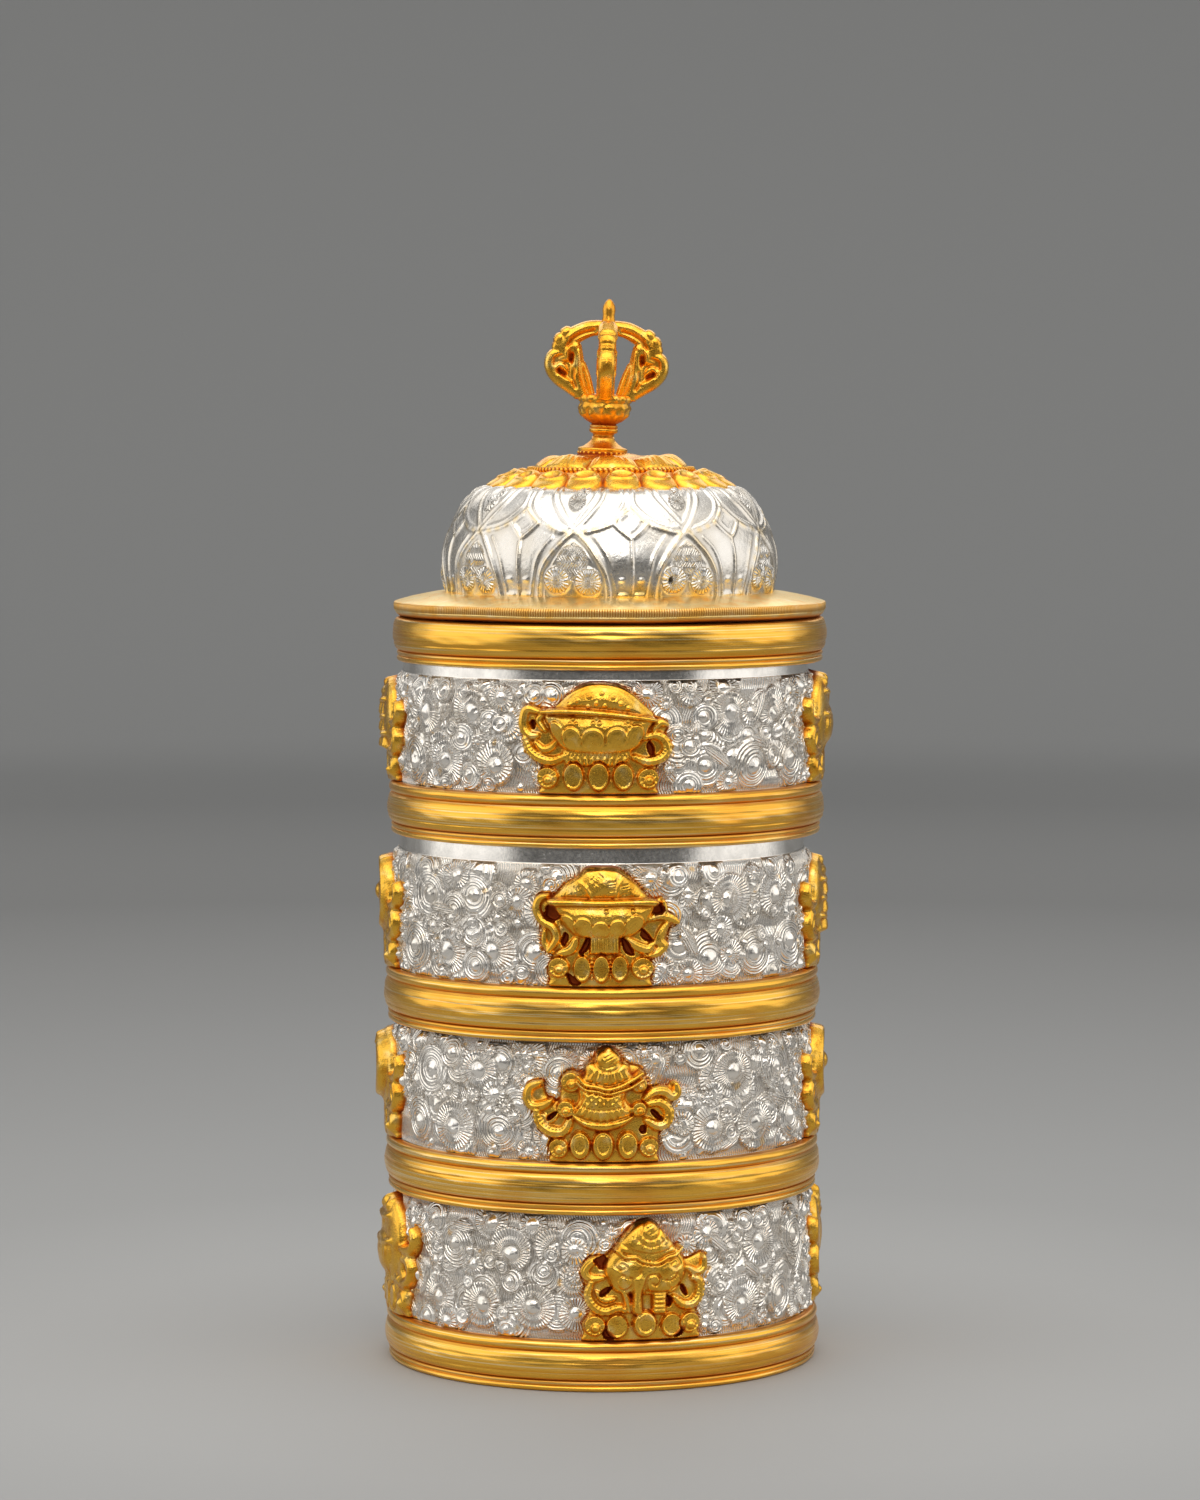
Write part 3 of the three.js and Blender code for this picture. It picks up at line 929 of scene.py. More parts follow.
def seedBowl(r):
    plate = [(-7.8, -0.7), (-8.9, 1.0), (-9.2, 2.6), (-8.7, 4.2), (-10.4, 5.4), (-11.6, 7.4)]
    plate += [(-11.8, 9.8), (-11.7, 11.8), (-10.6, 13.5), (-9.0, 12.7), (-5.7, 13.1), (-4.4, 15.2)]
    plate += [(-2.2, 16.7), (0.6, 16.9), (3.6, 16.4), (6.2, 14.5), (8.2, 11.6), (9.6, 11.4)]
    plate += [(10.9, 10.4), (10.2, 8.9), (10.9, 6.8), (10.0, 4.8), (8.9, 4.2), (9.3, 2.4)]
    backPlate(r, plate + [(8.9, 1.0), (7.8, -0.7)])
    scarf = [(-8.9, 12.4), (-10.7, 12.7), (-11.3, 11.3), (-11.2, 9.8), (-10.3, 8.7), (-9.0, 8.7)]
    r.ribbon(scarf, 1.7, 2.0)
    r.ribbon([(-7.9, 12.2), (-8.9, 11.2), (-8.4, 10.1), (-7.8, 9.4)], 1.2, 1.9)
    r.ribbon([(-11.0, 8.2), (-10.2, 6.4), (-8.5, 5.2), (-6.6, 4.9), (-4.7, 5.7)], 1.8, 2.1, beads=9)
    r.ribbon([(-9.4, 7.7), (-8.2, 6.6), (-7.0, 6.9), (-6.2, 7.8)], 1.3, 1.9)
    r.ribbon([(8.2, 9.6), (9.2, 10.7), (10.4, 10.4)], 1.3, 1.9)
    loop = [(7.0, 8.5), (8.5, 8.8), (9.9, 8.0), (10.3, 6.5), (9.2, 5.2), (7.2, 4.8), (5.2, 5.5)]
    r.ribbon(loop, 1.8, 2.1, beads=9)
    r.open(ovalOutline(7.9, 6.7, 0.5, 1.1, 0.3))
    r.open(ovalOutline(-9.9, 10.4, 0.35, 0.7, 0.2))
    neck = [(-5.4, 6.6), (5.0, 6.6), (4.4, 4.0), (-4.8, 4.0)]
    r.pillow(neck, 1.2, 1.9, 0.6, curved=False)
    r.hatch((abs(r.x + 0.2) < 4.7) & (r.y > 4) & (r.y < 5.4), np.arctan2(r.x + 0.2, r.y + 6) * 75, 0.2)
    r.hatch((abs(r.x + 0.2) < 4.9) & (abs(r.y - 5.75) < 0.25), r.x * 11, 0.2)
    uprights(r, ((-3.6, 2.5, 1.65, 2.35), (0.1, 2.5, 1.7, 2.4), (3.7, 2.5, 1.65, 2.3)), 2.4)
    roundel(r, -7.5, 2.3, 1.75)
    roundel(r, 7.4, 2.2, 1.75)
    heap = [(-5.8, 12.5), (-5.0, 14.0), (-3.7, 15.2), (-1.5, 16.2), (0.8, 16.4), (3.5, 15.7), (5.7, 14.0)]
    heap += [(7.8, 11.2), (0.6, 12.0)]
    r.pillow([(x * 1.06, y + 0.3) for x, y in heap], 0.9, 1.5, 0.4)
    r.pillow(heap, 1.2, 2.6, 3.2)
    seeds = [(-3.0, 14.2), (-4.2, 13.6), (-1.2, 14.8), (0.6, 15.3), (-0.2, 13.8), (-1.4, 13.3)]
    for cx, cy in seeds + [(1.0, 13.4), (2.2, 14.7), (3.3, 13.7), (4.4, 13.0)]:
        r.dot(cx, cy, 0.33, 0.3)
    bowl = [(-7.4, 12.2), (-7.1, 9.8), (-6.0, 7.6), (-4.0, 6.3), (0.2, 5.9), (4.4, 6.3), (6.4, 7.6)]
    bowl += [(7.5, 9.8), (7.8, 11.4), (0.6, 12.2)]
    r.pillow(bowl, 1.5, 3.3, 3.4)
    petals = [(-5.9, 9.3, 1.0, 1.7, 0.4), (-3.7, 8.4, 1.3, 1.7, 0.2), (-0.7, 8.2, 1.6, 1.65, 0)]
    for petal in petals + [(2.7, 8.4, 1.45, 1.6, -0.2), (5.3, 8.9, 1.2, 1.6, -0.4)]:
        bowlPetal(r, *petal)
    for cx, cy in ((-3.5, 10.9), (-0.2, 11.0), (4.3, 10.6)):
        tripleDots(r, cx, cy)
    rim = [(-8.6, 12.7), (-4.5, 13.0), (0.6, 12.7), (5.2, 12.1), (8.4, 11.5), (8.3, 10.8), (5.0, 11.2)]
    rim += [(0.6, 11.7), (-4.5, 12.0), (-8.3, 12.0)]
    r.pillow(rim, 1.8, 3.5, 0.42)


def leafBowl(r):
    plate = [(-7.0, -0.7), (-8.1, 1.0), (-8.4, 2.4), (-7.6, 4.6), (-9.2, 5.4), (-9.4, 7.6)]
    plate += [(-9.6, 9.4), (-10.5, 11.6), (-10.2, 13.6), (-9.0, 14.2), (-7.9, 13.6), (-5.6, 15.8)]
    plate += [(-3.9, 16.8), (-2.4, 18.1), (-0.2, 18.3), (2.6, 18.0), (5.0, 16.2), (7.6, 13.4)]
    plate += [(9.4, 13.6), (9.8, 11.6), (11.8, 9.9), (10.4, 8.6), (9.9, 6.2), (9.1, 4.6)]
    backPlate(r, plate + [(7.4, 4.4), (7.8, 2.4), (7.5, 1.0), (6.6, -0.7)])
    scarf = [(-8.2, 13.8), (-9.4, 13.2), (-9.8, 11.7), (-9.0, 10.0), (-7.3, 8.9), (-6.8, 7.2), (-8.0, 5.2)]
    r.ribbon(scarf, 1.6, 2.1)
    r.ribbon([(-3.8, 7.2), (-4.6, 5.6), (-6.4, 4.9)], 1.8, 2.0)
    r.ribbon([(-8.6, 8.4), (-8.6, 6.4), (-7.4, 5.0)], 1.1, 1.7)
    r.ribbon([(7.0, 10.2), (8.8, 10.7), (10.4, 10.2), (11.4, 9.6)], 1.6, 2.1, beads=9)
    r.ribbon([(9.2, 12.9), (9.4, 11.6), (9.0, 10.8)], 1.2, 1.9)
    r.ribbon([(9.6, 9.4), (8.8, 8.0), (8.6, 6.8), (9.2, 6.0), (8.0, 4.9), (6.6, 4.8)], 1.8, 2.1)
    r.ribbon([(3.6, 7.2), (5.2, 6.1), (6.8, 5.6), (7.6, 6.4)], 1.8, 2.0)
    for outline in (
        [(-8.4, 12.0), (-6.9, 12.6), (-6.4, 10.6), (-7.4, 9.9), (-8.6, 10.6)],
        [(7.8, 12.8), (9.0, 12.2), (9.2, 11.2), (8.0, 10.9), (7.4, 11.8)],
        [(-5.6, 8.1), (-5.0, 7.4), (-5.6, 6.2), (-6.1, 6.6)],
        [(-2.2, 7.3), (-1.7, 6.9), (-2.4, 5.3), (-3.4, 4.9), (-2.9, 6.0)],
        [(6.1, 8.6), (6.8, 8.0), (7.6, 6.8), (6.4, 7.0), (5.8, 7.8)],
        [(2.9, 7.2), (3.7, 6.8), (4.8, 4.8), (3.8, 4.9), (3.2, 5.8)],
        [(-5.4, 1.9), (-4.2, 1.2), (-3.2, 0.2), (-4.8, 0.2)],
    ):
        r.open(outline)
    r.pillow([(-1.8, 7.8), (2.6, 7.8), (2.7, 4.8), (-1.9, 4.8)], 1.3, 2.2, 0.7, curved=False)
    r.hatch((abs(r.x - 0.4) < 1.9) & (r.y > 4.9) & (r.y < 7.4), r.x * 12, 0.18)
    uprights(r, ((-2.9, 2.6, 1.45, 2.3), (-0.1, 2.6, 1.4, 2.4), (2.6, 2.7, 1.4, 2.3)), 2.3)
    roundel(r, -6.4, 2.8, 1.7)
    roundel(r, 6.0, 2.7, 1.8)
    for cx in (-1.5, 1.25):
        for i in range(6):
            r.dot(cx, 1.1 + 0.6 * i, 0.26, 0.4)
    heap = [(-7.9, 13.0), (-5.5, 15.4), (-3.9, 16.4), (-2.4, 17.7), (0.2, 18.0), (2.4, 17.7), (4.8, 16.0)]
    heap += [(7.5, 12.9), (0, 12.6)]
    r.pillow(heap, 1.0, 2.5, 3.0, curved=False)
    leaves = [(-6.0, 13.9, 1.3), (-4.8, 14.9, 1.3), (-3.1, 14.8, 2.0), (-0.7, 16.5, 2.4)]
    leaves += [(-1.0, 15.1, 2.4), (1.5, 15.3, 0.1), (3.4, 14.8, 0.2), (5.2, 14.5, 0.9)]
    for cx, cy, lean in leaves:
        strokes(r, cx, cy, 1.0, lean, pitch=0.42, depth=0.22)
    r.line([(-3.9, 16.5), (-2.3, 15.0), (-1.4, 13.2)], 0.24, -0.32)
    r.line([(3.3, 16.9), (2.3, 15.2), (2.1, 13.2)], 0.24, -0.32)
    bowl = [(-7.0, 12.8), (-6.4, 10.8), (-5.4, 9.1), (-4.0, 7.8), (-1.5, 7.2), (2.0, 7.2), (4.4, 7.7)]
    bowl += [(6.0, 8.8), (7.0, 10.5), (7.4, 12.6), (0, 12.8)]
    r.pillow(bowl, 1.5, 3.3, 3.2)
    petals = [(-5.0, 9.7, 1.0, 1.4, 0.7), (-2.7, 9.1, 1.25, 1.4, 0.15), (-0.2, 8.5, 1.25, 1.4, 0)]
    for petal in petals + [(2.2, 8.8, 1.15, 1.4, -0.1), (4.7, 9.6, 1.2, 1.4, -0.8)]:
        bowlPetal(r, *petal)
    tripleDots(r, 0.6, 11.0)
    tripleDots(r, 4.4, 11.1)
    rim = [(-8.2, 13.3), (-4, 13.4), (0, 13.3), (4, 13.4), (7.9, 13.3), (7.9, 12.2), (4, 12.3)]
    rim += [(0, 12.2), (-4, 12.2), (-7.6, 12.2)]
    r.pillow(rim, 1.9, 3.5, 0.5)


def parasol(r):
    plate = [(-7.4, -0.7), (-8.6, 1.0), (-8.9, 2.2), (-8.2, 3.9), (-9.6, 4.2), (-10.9, 6.0)]
    plate += [(-11.4, 7.6), (-12.6, 8.8), (-12.3, 10.8), (-10.6, 12.2), (-9.6, 11.6), (-9.0, 9.8)]
    plate += [(-7.2, 9.2), (-6.9, 12.4), (-5.6, 13.8), (-3.6, 13.4), (-2.2, 15.4), (-1.2, 16.9)]
    plate += [(0.4, 17.3), (1.9, 16.7), (3.2, 14.9), (5.2, 14.2), (6.4, 12.2), (6.4, 10.4)]
    plate += [(9.0, 11.0), (10.2, 11.9), (11.4, 11.6), (11.2, 9.6), (9.9, 8.4), (10.2, 6.0)]
    backPlate(r, plate + [(8.8, 4.6), (8.2, 3.8), (8.3, 2.2), (8.0, 1.0), (7.0, -0.7)])
    r.ribbon([(-9.9, 11.7), (-11.4, 11.0), (-11.8, 9.4), (-11.0, 8.2), (-9.4, 8.3), (-8.2, 9.0)], 1.8, 2.1)
    r.ribbon([(-10.4, 7.4), (-9.8, 5.6), (-8.0, 4.4), (-6.2, 4.6), (-5.2, 6.4)], 2.0, 2.2, beads=9)
    r.ribbon([(-9.4, 6.9), (-8.4, 6.0), (-7.2, 6.9)], 1.1, 1.8)
    r.ribbon([(5.8, 9.4), (7.2, 10.4), (8.8, 10.4), (10.0, 9.6), (10.8, 10.2), (10.6, 11.4)], 1.8, 2.1)
    r.ribbon([(6.0, 8.6), (8.0, 8.8), (9.4, 7.6), (9.2, 5.9), (7.8, 5.2), (5.9, 6.2)], 1.9, 2.2, beads=9)
    r.open(ovalOutline(-8.1, 6.7, 0.3, 0.9, -0.9))
    r.open(ovalOutline(7.6, 6.9, 0.35, 1.1, 0.8))
    r.open(ovalOutline(5.6, 4.7, 0.5, 0.6))
    petals = ((-3.8, 2.4, 1.65, 2.3), (-0.4, 2.4, 1.7, 2.4), (3.2, 2.4, 1.65, 2.3))
    uprights(r, petals, 2.4, rings=2)
    roundel(r, -7.0, 1.95, 1.6)
    roundel(r, 6.4, 2.1, 1.6)
    for cx, cy, radius in ((-5.1, 12.0, 1.7), (-5.9, 7.9, 1.5), (4.9, 11.6, 1.4), (4.9, 7.9, 1.3)):
        roundel(r, cx, cy, radius, 2.6)
    crescent = [(-5.2, 7.4), (-4.2, 5.9), (-2.4, 4.9), (-0.6, 4.6), (1.4, 4.9), (3.2, 5.8), (4.2, 7.0)]
    crescent += [(1.6, 6.4), (-0.6, 6.1), (-3.0, 6.4)]
    r.pillow(crescent, 1.4, 2.7, 0.6)
    skirt = [(-3.6, 11.4), (-3.9, 9.4), (-4.9, 7.6), (-4.4, 6.7), (-0.6, 5.6), (3.0, 6.6), (4.0, 7.8)]
    skirt += [(2.8, 9.4), (2.6, 11.4)]
    r.pillow(skirt, 1.4, 3.2, 2.2)
    body = (abs(r.x + 0.5) < 3.0) & (r.y > 8.3) & (r.y < 10.8)
    cross = np.maximum(np.sin((r.x + r.y) * 5.5), np.sin((r.x - r.y) * 5.5))
    r.h = r.h + 0.14 * np.where(body, cross, 0)
    fan = np.arctan2(r.x + 0.5, r.y - 12.6)
    fringe = (r.oval(-0.5, 11.2, 4.6, 5.3) < 1) & (r.oval(-0.5, 11.6, 3.9, 3.7) > 1) & (r.y < 8.6)
    r.hatch(fringe, fan * 42, 0.18)
    r.line([(-3.6, 8.5), (-2.0, 8.0), (-0.5, 7.9), (1.0, 8.0), (2.7, 8.5)], 0.16, 0.3)
    for side in (-1, 1):
        r.line([(-0.5 + side * 2.8, 10.9), (-0.5 + side * 3.0, 9.2), (-0.5 + side * 4.1, 7.6)], 0.18, 0.35)
    cone = [(-2.4, 15.0), (-3.1, 13.2), (-3.4, 11.9), (0.2, 11.1), (3.9, 12.2), (3.5, 13.6), (2.8, 15.0)]
    r.pillow(cone, 1.6, 3.0, 1.6)
    r.hatch(r.oval(0.3, 12.9, 2.9, 1.0) < 1, np.arctan2(r.x - 0.3, r.y - 18.0) * 34, 0.16)
    brim = [(-4.0, 12.9), (-3.1, 11.8), (-1.4, 11.4), (0.2, 11.0), (1.9, 11.4), (3.6, 12.3), (5.2, 13.4)]
    r.ribbon(brim, 0.9, 3.4, ends=0.9, low=2.0, folds=0.5)
    hem = [(-4.2, 12.1), (-3.0, 11.0), (-1.3, 10.7), (0.3, 10.3), (2.0, 10.7), (3.8, 11.4), (5.3, 12.4)]
    r.ribbon(hem, 0.8, 3.2, ends=0.9, low=1.9, folds=0.5)
    q = r.mound(0.3, 15.3, 1.95, 1.65, 3.1, low=1.5)
    r.ringed(q, 1.8, 0.16, 0.35)
    strokes(r, 0.8, 15.4, 1.5, 0.5, pitch=0.5)
    r.mound(0.4, 16.7, 0.75, 0.6, 2.3)


def elephant(r):
    plate = [(-8.2, -0.7), (-9.3, 1.0), (-9.5, 2.6), (-8.4, 4.2), (-8.7, 6.2), (-9.1, 8.4)]
    plate += [(-9.7, 10.2), (-8.9, 12.3), (-7.6, 13.0), (-6.3, 12.6), (-4.9, 14.0), (-3.3, 16.2)]
    plate += [(-1.5, 17.9), (0.5, 18.4), (2.2, 17.8), (3.5, 16.0), (4.9, 13.9), (6.6, 12.2)]
    plate += [(9.2, 13.0), (10.1, 12.4), (9.8, 10.4), (9.3, 8.6), (9.4, 6.0), (8.4, 4.4)]
    backPlate(r, plate + [(9.2, 2.4), (8.9, 1.0), (7.8, -0.7)])
    r.ribbon([(-6.2, 12.6), (-7.9, 12.0), (-8.9, 10.6), (-8.0, 9.5), (-6.2, 9.6)], 1.6, 2.0)
    scarf = [(-7.9, 8.8), (-8.5, 7.0), (-7.6, 5.2), (-5.9, 4.4), (-4.0, 5.0), (-2.8, 4.5)]
    r.ribbon(scarf, 1.7, 2.1, beads=9)
    r.ribbon([(-7.2, 7.4), (-6.0, 6.2), (-4.4, 6.4)], 1.2, 1.8)
    r.ribbon([(6.6, 10.8), (8.2, 10.0), (9.2, 10.6), (9.4, 12.2)], 1.6, 2.1)
    r.ribbon([(7.4, 9.2), (8.6, 8.6), (8.6, 6.6), (7.4, 5.2), (5.8, 5.2), (4.4, 6.4)], 1.8, 2.2, beads=9)
    r.open([(-7.6, 12.2), (-6.0, 12.9), (-5.6, 11.4), (-6.6, 10.9)])
    r.open(ovalOutline(-5.9, 7.4, 0.4, 1.0, -0.9))
    r.open(ovalOutline(6.2, 7.3, 0.35, 1.0, 0.5))
    r.open([(-6.4, 1.6), (-5.2, 1.4), (-4.2, 0.2), (-6.0, 0.2)])
    r.open([(5.4, 1.6), (6.2, 1.8), (5.8, 0.3), (4.0, 0.3)])
    r.open([(3.4, 6.6), (4.2, 6.0), (4.0, 4.9), (3.5, 5.2)])
    uprights(r, ((-4.1, 2.1, 1.75, 2.0), (4.1, 2.1, 1.75, 1.95)), 2.2)
    roundel(r, -7.4, 2.2, 1.7)
    roundel(r, 7.0, 2.3, 1.7)
    r.pillow([(1.0, 7.8), (3.3, 7.8), (3.3, 3.8), (1.0, 3.8)], 1.4, 2.3, 0.8, curved=False)
    r.hatch((abs(r.x - 2.2) < 0.9) & (r.y > 4.4) & (r.y < 6.8), r.y * 9, 0.2)
    r.ribbon([(-3.4, 8.0), (-2.7, 6.4), (-2.3, 4.4)], 1.2, 2.3)
    uprights(r, [(0.0, 2.4, 1.9, 2.2)], 2.6, rings=2)
    head = [(-6.1, 11.6), (-5.5, 9.2), (-4.2, 7.4), (-0.5, 6.9), (2.2, 6.9), (4.4, 7.2), (6.0, 9.2)]
    head += [(6.3, 11.4), (5.2, 13.4), (2, 14.6), (-2.4, 14.6), (-4.9, 13.4)]
    r.pillow(head, 1.2, 3.2, 3.4)
    for side in (-1, 1):
        eyeX, eyeY = (-2.2, 10.9) if side < 0 else (3.3, 10.4)
        q = r.oval(eyeX, eyeY, 1.4, 1.15)
        r.h = r.h + (0.22 * roof(q) - bump(q - 1.05, 0.12, 0.28) * (r.y < eyeY + 0.2)) * (r.h > 0)
        browX = 0.4 + side * 4.0
        curl = [(browX - side * 1.0, 12.3), (browX + side * 0.2, 12.6), (browX + side * 0.8, 11.6)]
        r.line(curl + [(browX, 11.0), (browX - side * 0.7, 11.5), (browX - side * 0.2, 12.0)], 0.16, 0.34)
        cheekX = -3.1 if side < 0 else 4.2
        cheek = r.oval(cheekX, 9.0, 1.15, 1.2)
        r.ringed(cheek, 1.15, 0.15, 0.3)
        strokes(r, cheekX, 9.2, 1.0, -side * 0.7, pitch=0.4)
    trunk = [(-2.1, 10.0), (-1.9, 7.4), (-2.0, 4.6), (-1.2, 3.9), (-0.4, 4.4), (-0.5, 7.2), (0.2, 9.6)]
    r.pillow(trunk + [(-0.9, 10.6)], 1.8, 3.5, 0.95)
    r.line([(-1.0, 6.2), (-0.8, 5.2), (-0.9, 4.4)], 0.14, 0.3)
    jaw = [(0.3, 7.5), (0.0, 8.8), (0.4, 10.0), (1.6, 10.1), (2.1, 9.2), (1.5, 8.4), (0.9, 8.8)]
    r.line(jaw, 0.18, 0.4)
    r.line([(0.2, 7.5), (1.8, 7.2), (3.4, 7.3), (4.8, 8.0)], 0.15, 0.3)
    cap = [(-4.7, 14.0), (-3.6, 13.1), (-1.2, 12.6), (1.2, 12.2), (3.2, 12.8), (4.8, 13.5), (4.4, 14.6)]
    cap += [(3.3, 16.1), (2.0, 17.5), (0.4, 18.1), (-1.4, 17.6), (-3.1, 16.1)]
    r.pillow(cap, 1.7, 3.4, 2.2)
    scallop = [(-4.2, 14.0), (-3.0, 13.0), (-1.4, 12.9), (-0.6, 12.3), (1.2, 11.9), (2.4, 12.3)]
    scallop += [(3.2, 12.8), (4.4, 13.1), (5.3, 14.2)]
    r.ribbon(scallop, 0.8, 3.3, ends=0.9, low=2.0, folds=0.5)
    r.line([(-3.4, 14.9), (-1.6, 13.9), (0.8, 13.4), (3.0, 13.9), (4.6, 14.9)], 0.16, 0.36)
    ribs = (r.oval(0.8, 16.6, 2.9, 2.6) < 1) & (r.oval(0.8, 17.2, 1.8, 1.6) > 1) & (r.y < 16)
    r.hatch(ribs, np.arctan2(r.x - 0.8, 18.5 - r.y) * 24, 0.17)
    r.line([(-1.4, 15.9), (-0.4, 14.9), (0.8, 14.5), (2.2, 15.0), (3.2, 16.0)], 0.15, 0.3)
    q = r.mound(0.7, 17.0, 1.35, 1.4, 3.3, low=1.6)
    r.ringed(q, 1.35, 0.16, 0.4)
    strokes(r, 0.8, 17.1, 1.2, 0.5, count=3, pitch=0.5)


def commonFoot(r):
    # the petals, scrolls and scarves that the emblems round the sides and back share
    half = [(-7.4, -0.7), (-8.6, 1.0), (-8.8, 2.4), (-8.2, 4.2), (-9.9, 4.9), (-11.0, 7.0)]
    half += [(-10.4, 8.8), (-11.8, 10.6), (-11.9, 12.8), (-10.4, 13.8), (-9.0, 11.4), (-7.0, 10.8)]
    half += [(-6.2, 14.0), (-3.4, 16.4)]
    r.pillow(half + [(0, 17.0)] + mirrored(half[::-1]), 0.3, 1.6, 3.5)
    r.mound(0, 10.4, 7.0, 6.8, 2.7, low=1.1)
    r.mound(0, 2.6, 9.0, 4.4, 2.1, low=0.9)
    loop = [(5.0, 5.3), (7.2, 4.7), (9.4, 5.4), (10.2, 7.2), (9.0, 8.7), (7.4, 8.4)]
    tail = [(6.8, 9.9), (8.8, 9.8), (10.6, 10.4), (11.2, 12.0), (10.4, 13.2)]
    for path in (loop, tail):
        r.ribbon(path, 1.8, 2.1, beads=9)
        r.ribbon(mirrored(path), 1.8, 2.1, beads=9)
    r.open(ovalOutline(7.7, 6.7, 0.5, 0.9, 0.6))
    r.open(ovalOutline(-7.7, 6.7, 0.5, 0.9, -0.6))
    r.pillow([(-3.8, 6.8), (3.8, 6.8), (3.4, 3.8), (-3.4, 3.8)], 1.2, 1.9, 0.6, curved=False)
    r.hatch((abs(r.x) < 3.2) & (r.y > 4) & (r.y < 6.4), np.arctan2(r.x, r.y + 5) * 70, 0.18)
    uprights(r, [(cx, 2.3, 1.5, 2.1) for cx in (-3.5, 0.0, 3.5)], 2.3)
    roundel(r, -7.0, 2.1, 1.65)
    roundel(r, 7.0, 2.1, 1.65)


def conch(r):
    commonFoot(r)
    q = r.mound(0.5, 10.0, 4.2, 5.4, 3.3, tilt=-0.3, low=1.2)
    r.hatch((q < 0.92) & (r.x < 0.6), q * 20, 0.1)
    for i in range(4):
        turn = r.mound(-1.3 - 0.45 * i, 13.4 + 0.95 * i, 2.8 - 0.6 * i, 1.3, 3.1 - 0.2 * i, 0.35, 1.4)
        r.ringed(turn, 1.3, 0.14, 0.3)
    r.line([(2.8, 13.4), (1.3, 10.6), (1.4, 7.4), (2.6, 5.8)], 0.5, 0.9)
    r.ribbon([(3.3, 13.6), (4.6, 11.2), (4.4, 8.0), (2.6, 5.6)], 1.2, 2.9, low=1.8)


def mirror(r):
    commonFoot(r)
    q = r.mound(0, 11.2, 5.9, 5.9, 2.1)
    turn = np.arctan2(r.y - 11.2, r.x)
    r.hatch((q > 0.74) & (q < 0.98), abs(turn) * 24, 0.2)
    r.rimmed(0, 11.2, 4.3, 4.3, 3.1, rings=2)
    r.mound(0, 16.6, 1.1, 1.0, 2.4)


def vase(r):
    commonFoot(r)
    q = r.mound(0, 8.9, 4.8, 3.8, 3.5, low=1.2)
    r.hatch((q < 0.85) & (abs(r.y - 9.3) < 1.2), r.x * 7, 0.16)
    r.ribbon([(-4.4, 10.6), (0, 10.1), (4.4, 10.6)], 0.8, 3.6, low=2.2, folds=0.5)
    r.mound(0, 13.0, 2.3, 2.2, 2.8)
    r.ribbon([(-3.3, 14.3), (0, 13.9), (3.3, 14.3)], 1.1, 3.1, low=1.6)
    for cx, top in ((-1.9, 15.5), (0, 16.0), (1.9, 15.5)):
        r.mound(cx, top, 1.15, 1.4, 2.6, tilt=-cx * 0.25)


def wheel(r):
    commonFoot(r)
    q = r.oval(0, 11.2, 6.2, 6.2)
    r.add(1.3 + 0 * r.x, q < 0.9)
    turn = np.arctan2(r.y - 11.2, r.x)
    spokes = abs(((turn / (math.pi / 4)) + 0.5) % 1 - 0.5) * (math.pi / 4) * q * 6.2
    r.add(1.4 + 1.1 * roof(spokes / 0.55), (spokes < 0.55) & (q < 0.8))
    r.add(1.4 + 1.4 * roof((q - 0.84) / 0.13), abs(q - 0.84) < 0.13)
    for i in range(8):
        a = (i + 0.5) * math.pi / 4
        r.mound(5.7 * math.cos(a), 11.2 + 5.5 * math.sin(a), 0.75, 0.75, 2.4)
    r.mound(0, 11.2, 1.9, 1.9, 3.5)


def lotus(r):
    commonFoot(r)
    for tilt, top in ((1.1, 2.1), (-1.1, 2.1), (0.6, 2.6), (-0.6, 2.6), (0, 3.2)):
        cx, cy = -math.sin(tilt) * 4.4, 7.0 + math.cos(tilt) * 4.5
        q = r.mound(cx, cy, 2.1, 4.2, top, tilt=tilt, low=1.1)
        r.h = r.h - bump((q - 0.78) * 2, 0.16, 0.26) * (r.h > 0) * (q < 1)
    q = r.mound(0, 7.9, 3.2, 2.1, 3.5)
    r.hatch(q < 0.9, r.x * 7, 0.14)


def fish(r):
    commonFoot(r)
    for side in (-1, 1):
        spine = [(side * 0.9, 15.8), (side * 3.5, 12.8), (side * 3.4, 9.2), (side * 0.7, 6.0)]
        r.ribbon(spine, 4.2, 3.4, ends=0.25, low=1.2, folds=0.5)
        r.mound(side * -1.5, 5.5, 1.6, 0.9, 2.2, tilt=side * 0.6)
        r.dot(side * 1.9, 14.6, 0.42, 0.4)
    scales = np.sin(r.y * 6) * np.sin(r.x * 7)
    r.h = r.h + 0.12 * np.where((r.h > 1.9) & (r.y > 7) & (r.y < 14) & (abs(r.x) < 5.4), scales, 0)


def knot(r):
    commonFoot(r)
    q = abs(r.x) / 5.8 + abs(r.y - 11.0) / 6.2
    r.add(1.2 + 0 * r.x, q < 1)
    a, b = (r.x + r.y - 11.0) / 1.8, (r.x - r.y + 11.0) / 1.8
    over = np.maximum(
        roof((a % 1 - 0.5) / 0.36) * (1 + 0.35 * np.sign(np.sin(math.pi * b))),
        roof((b % 1 - 0.5) / 0.36) * (1 - 0.35 * np.sign(np.sin(math.pi * a))),
    )
    r.add(1.3 + 1.4 * over, q < 0.96)


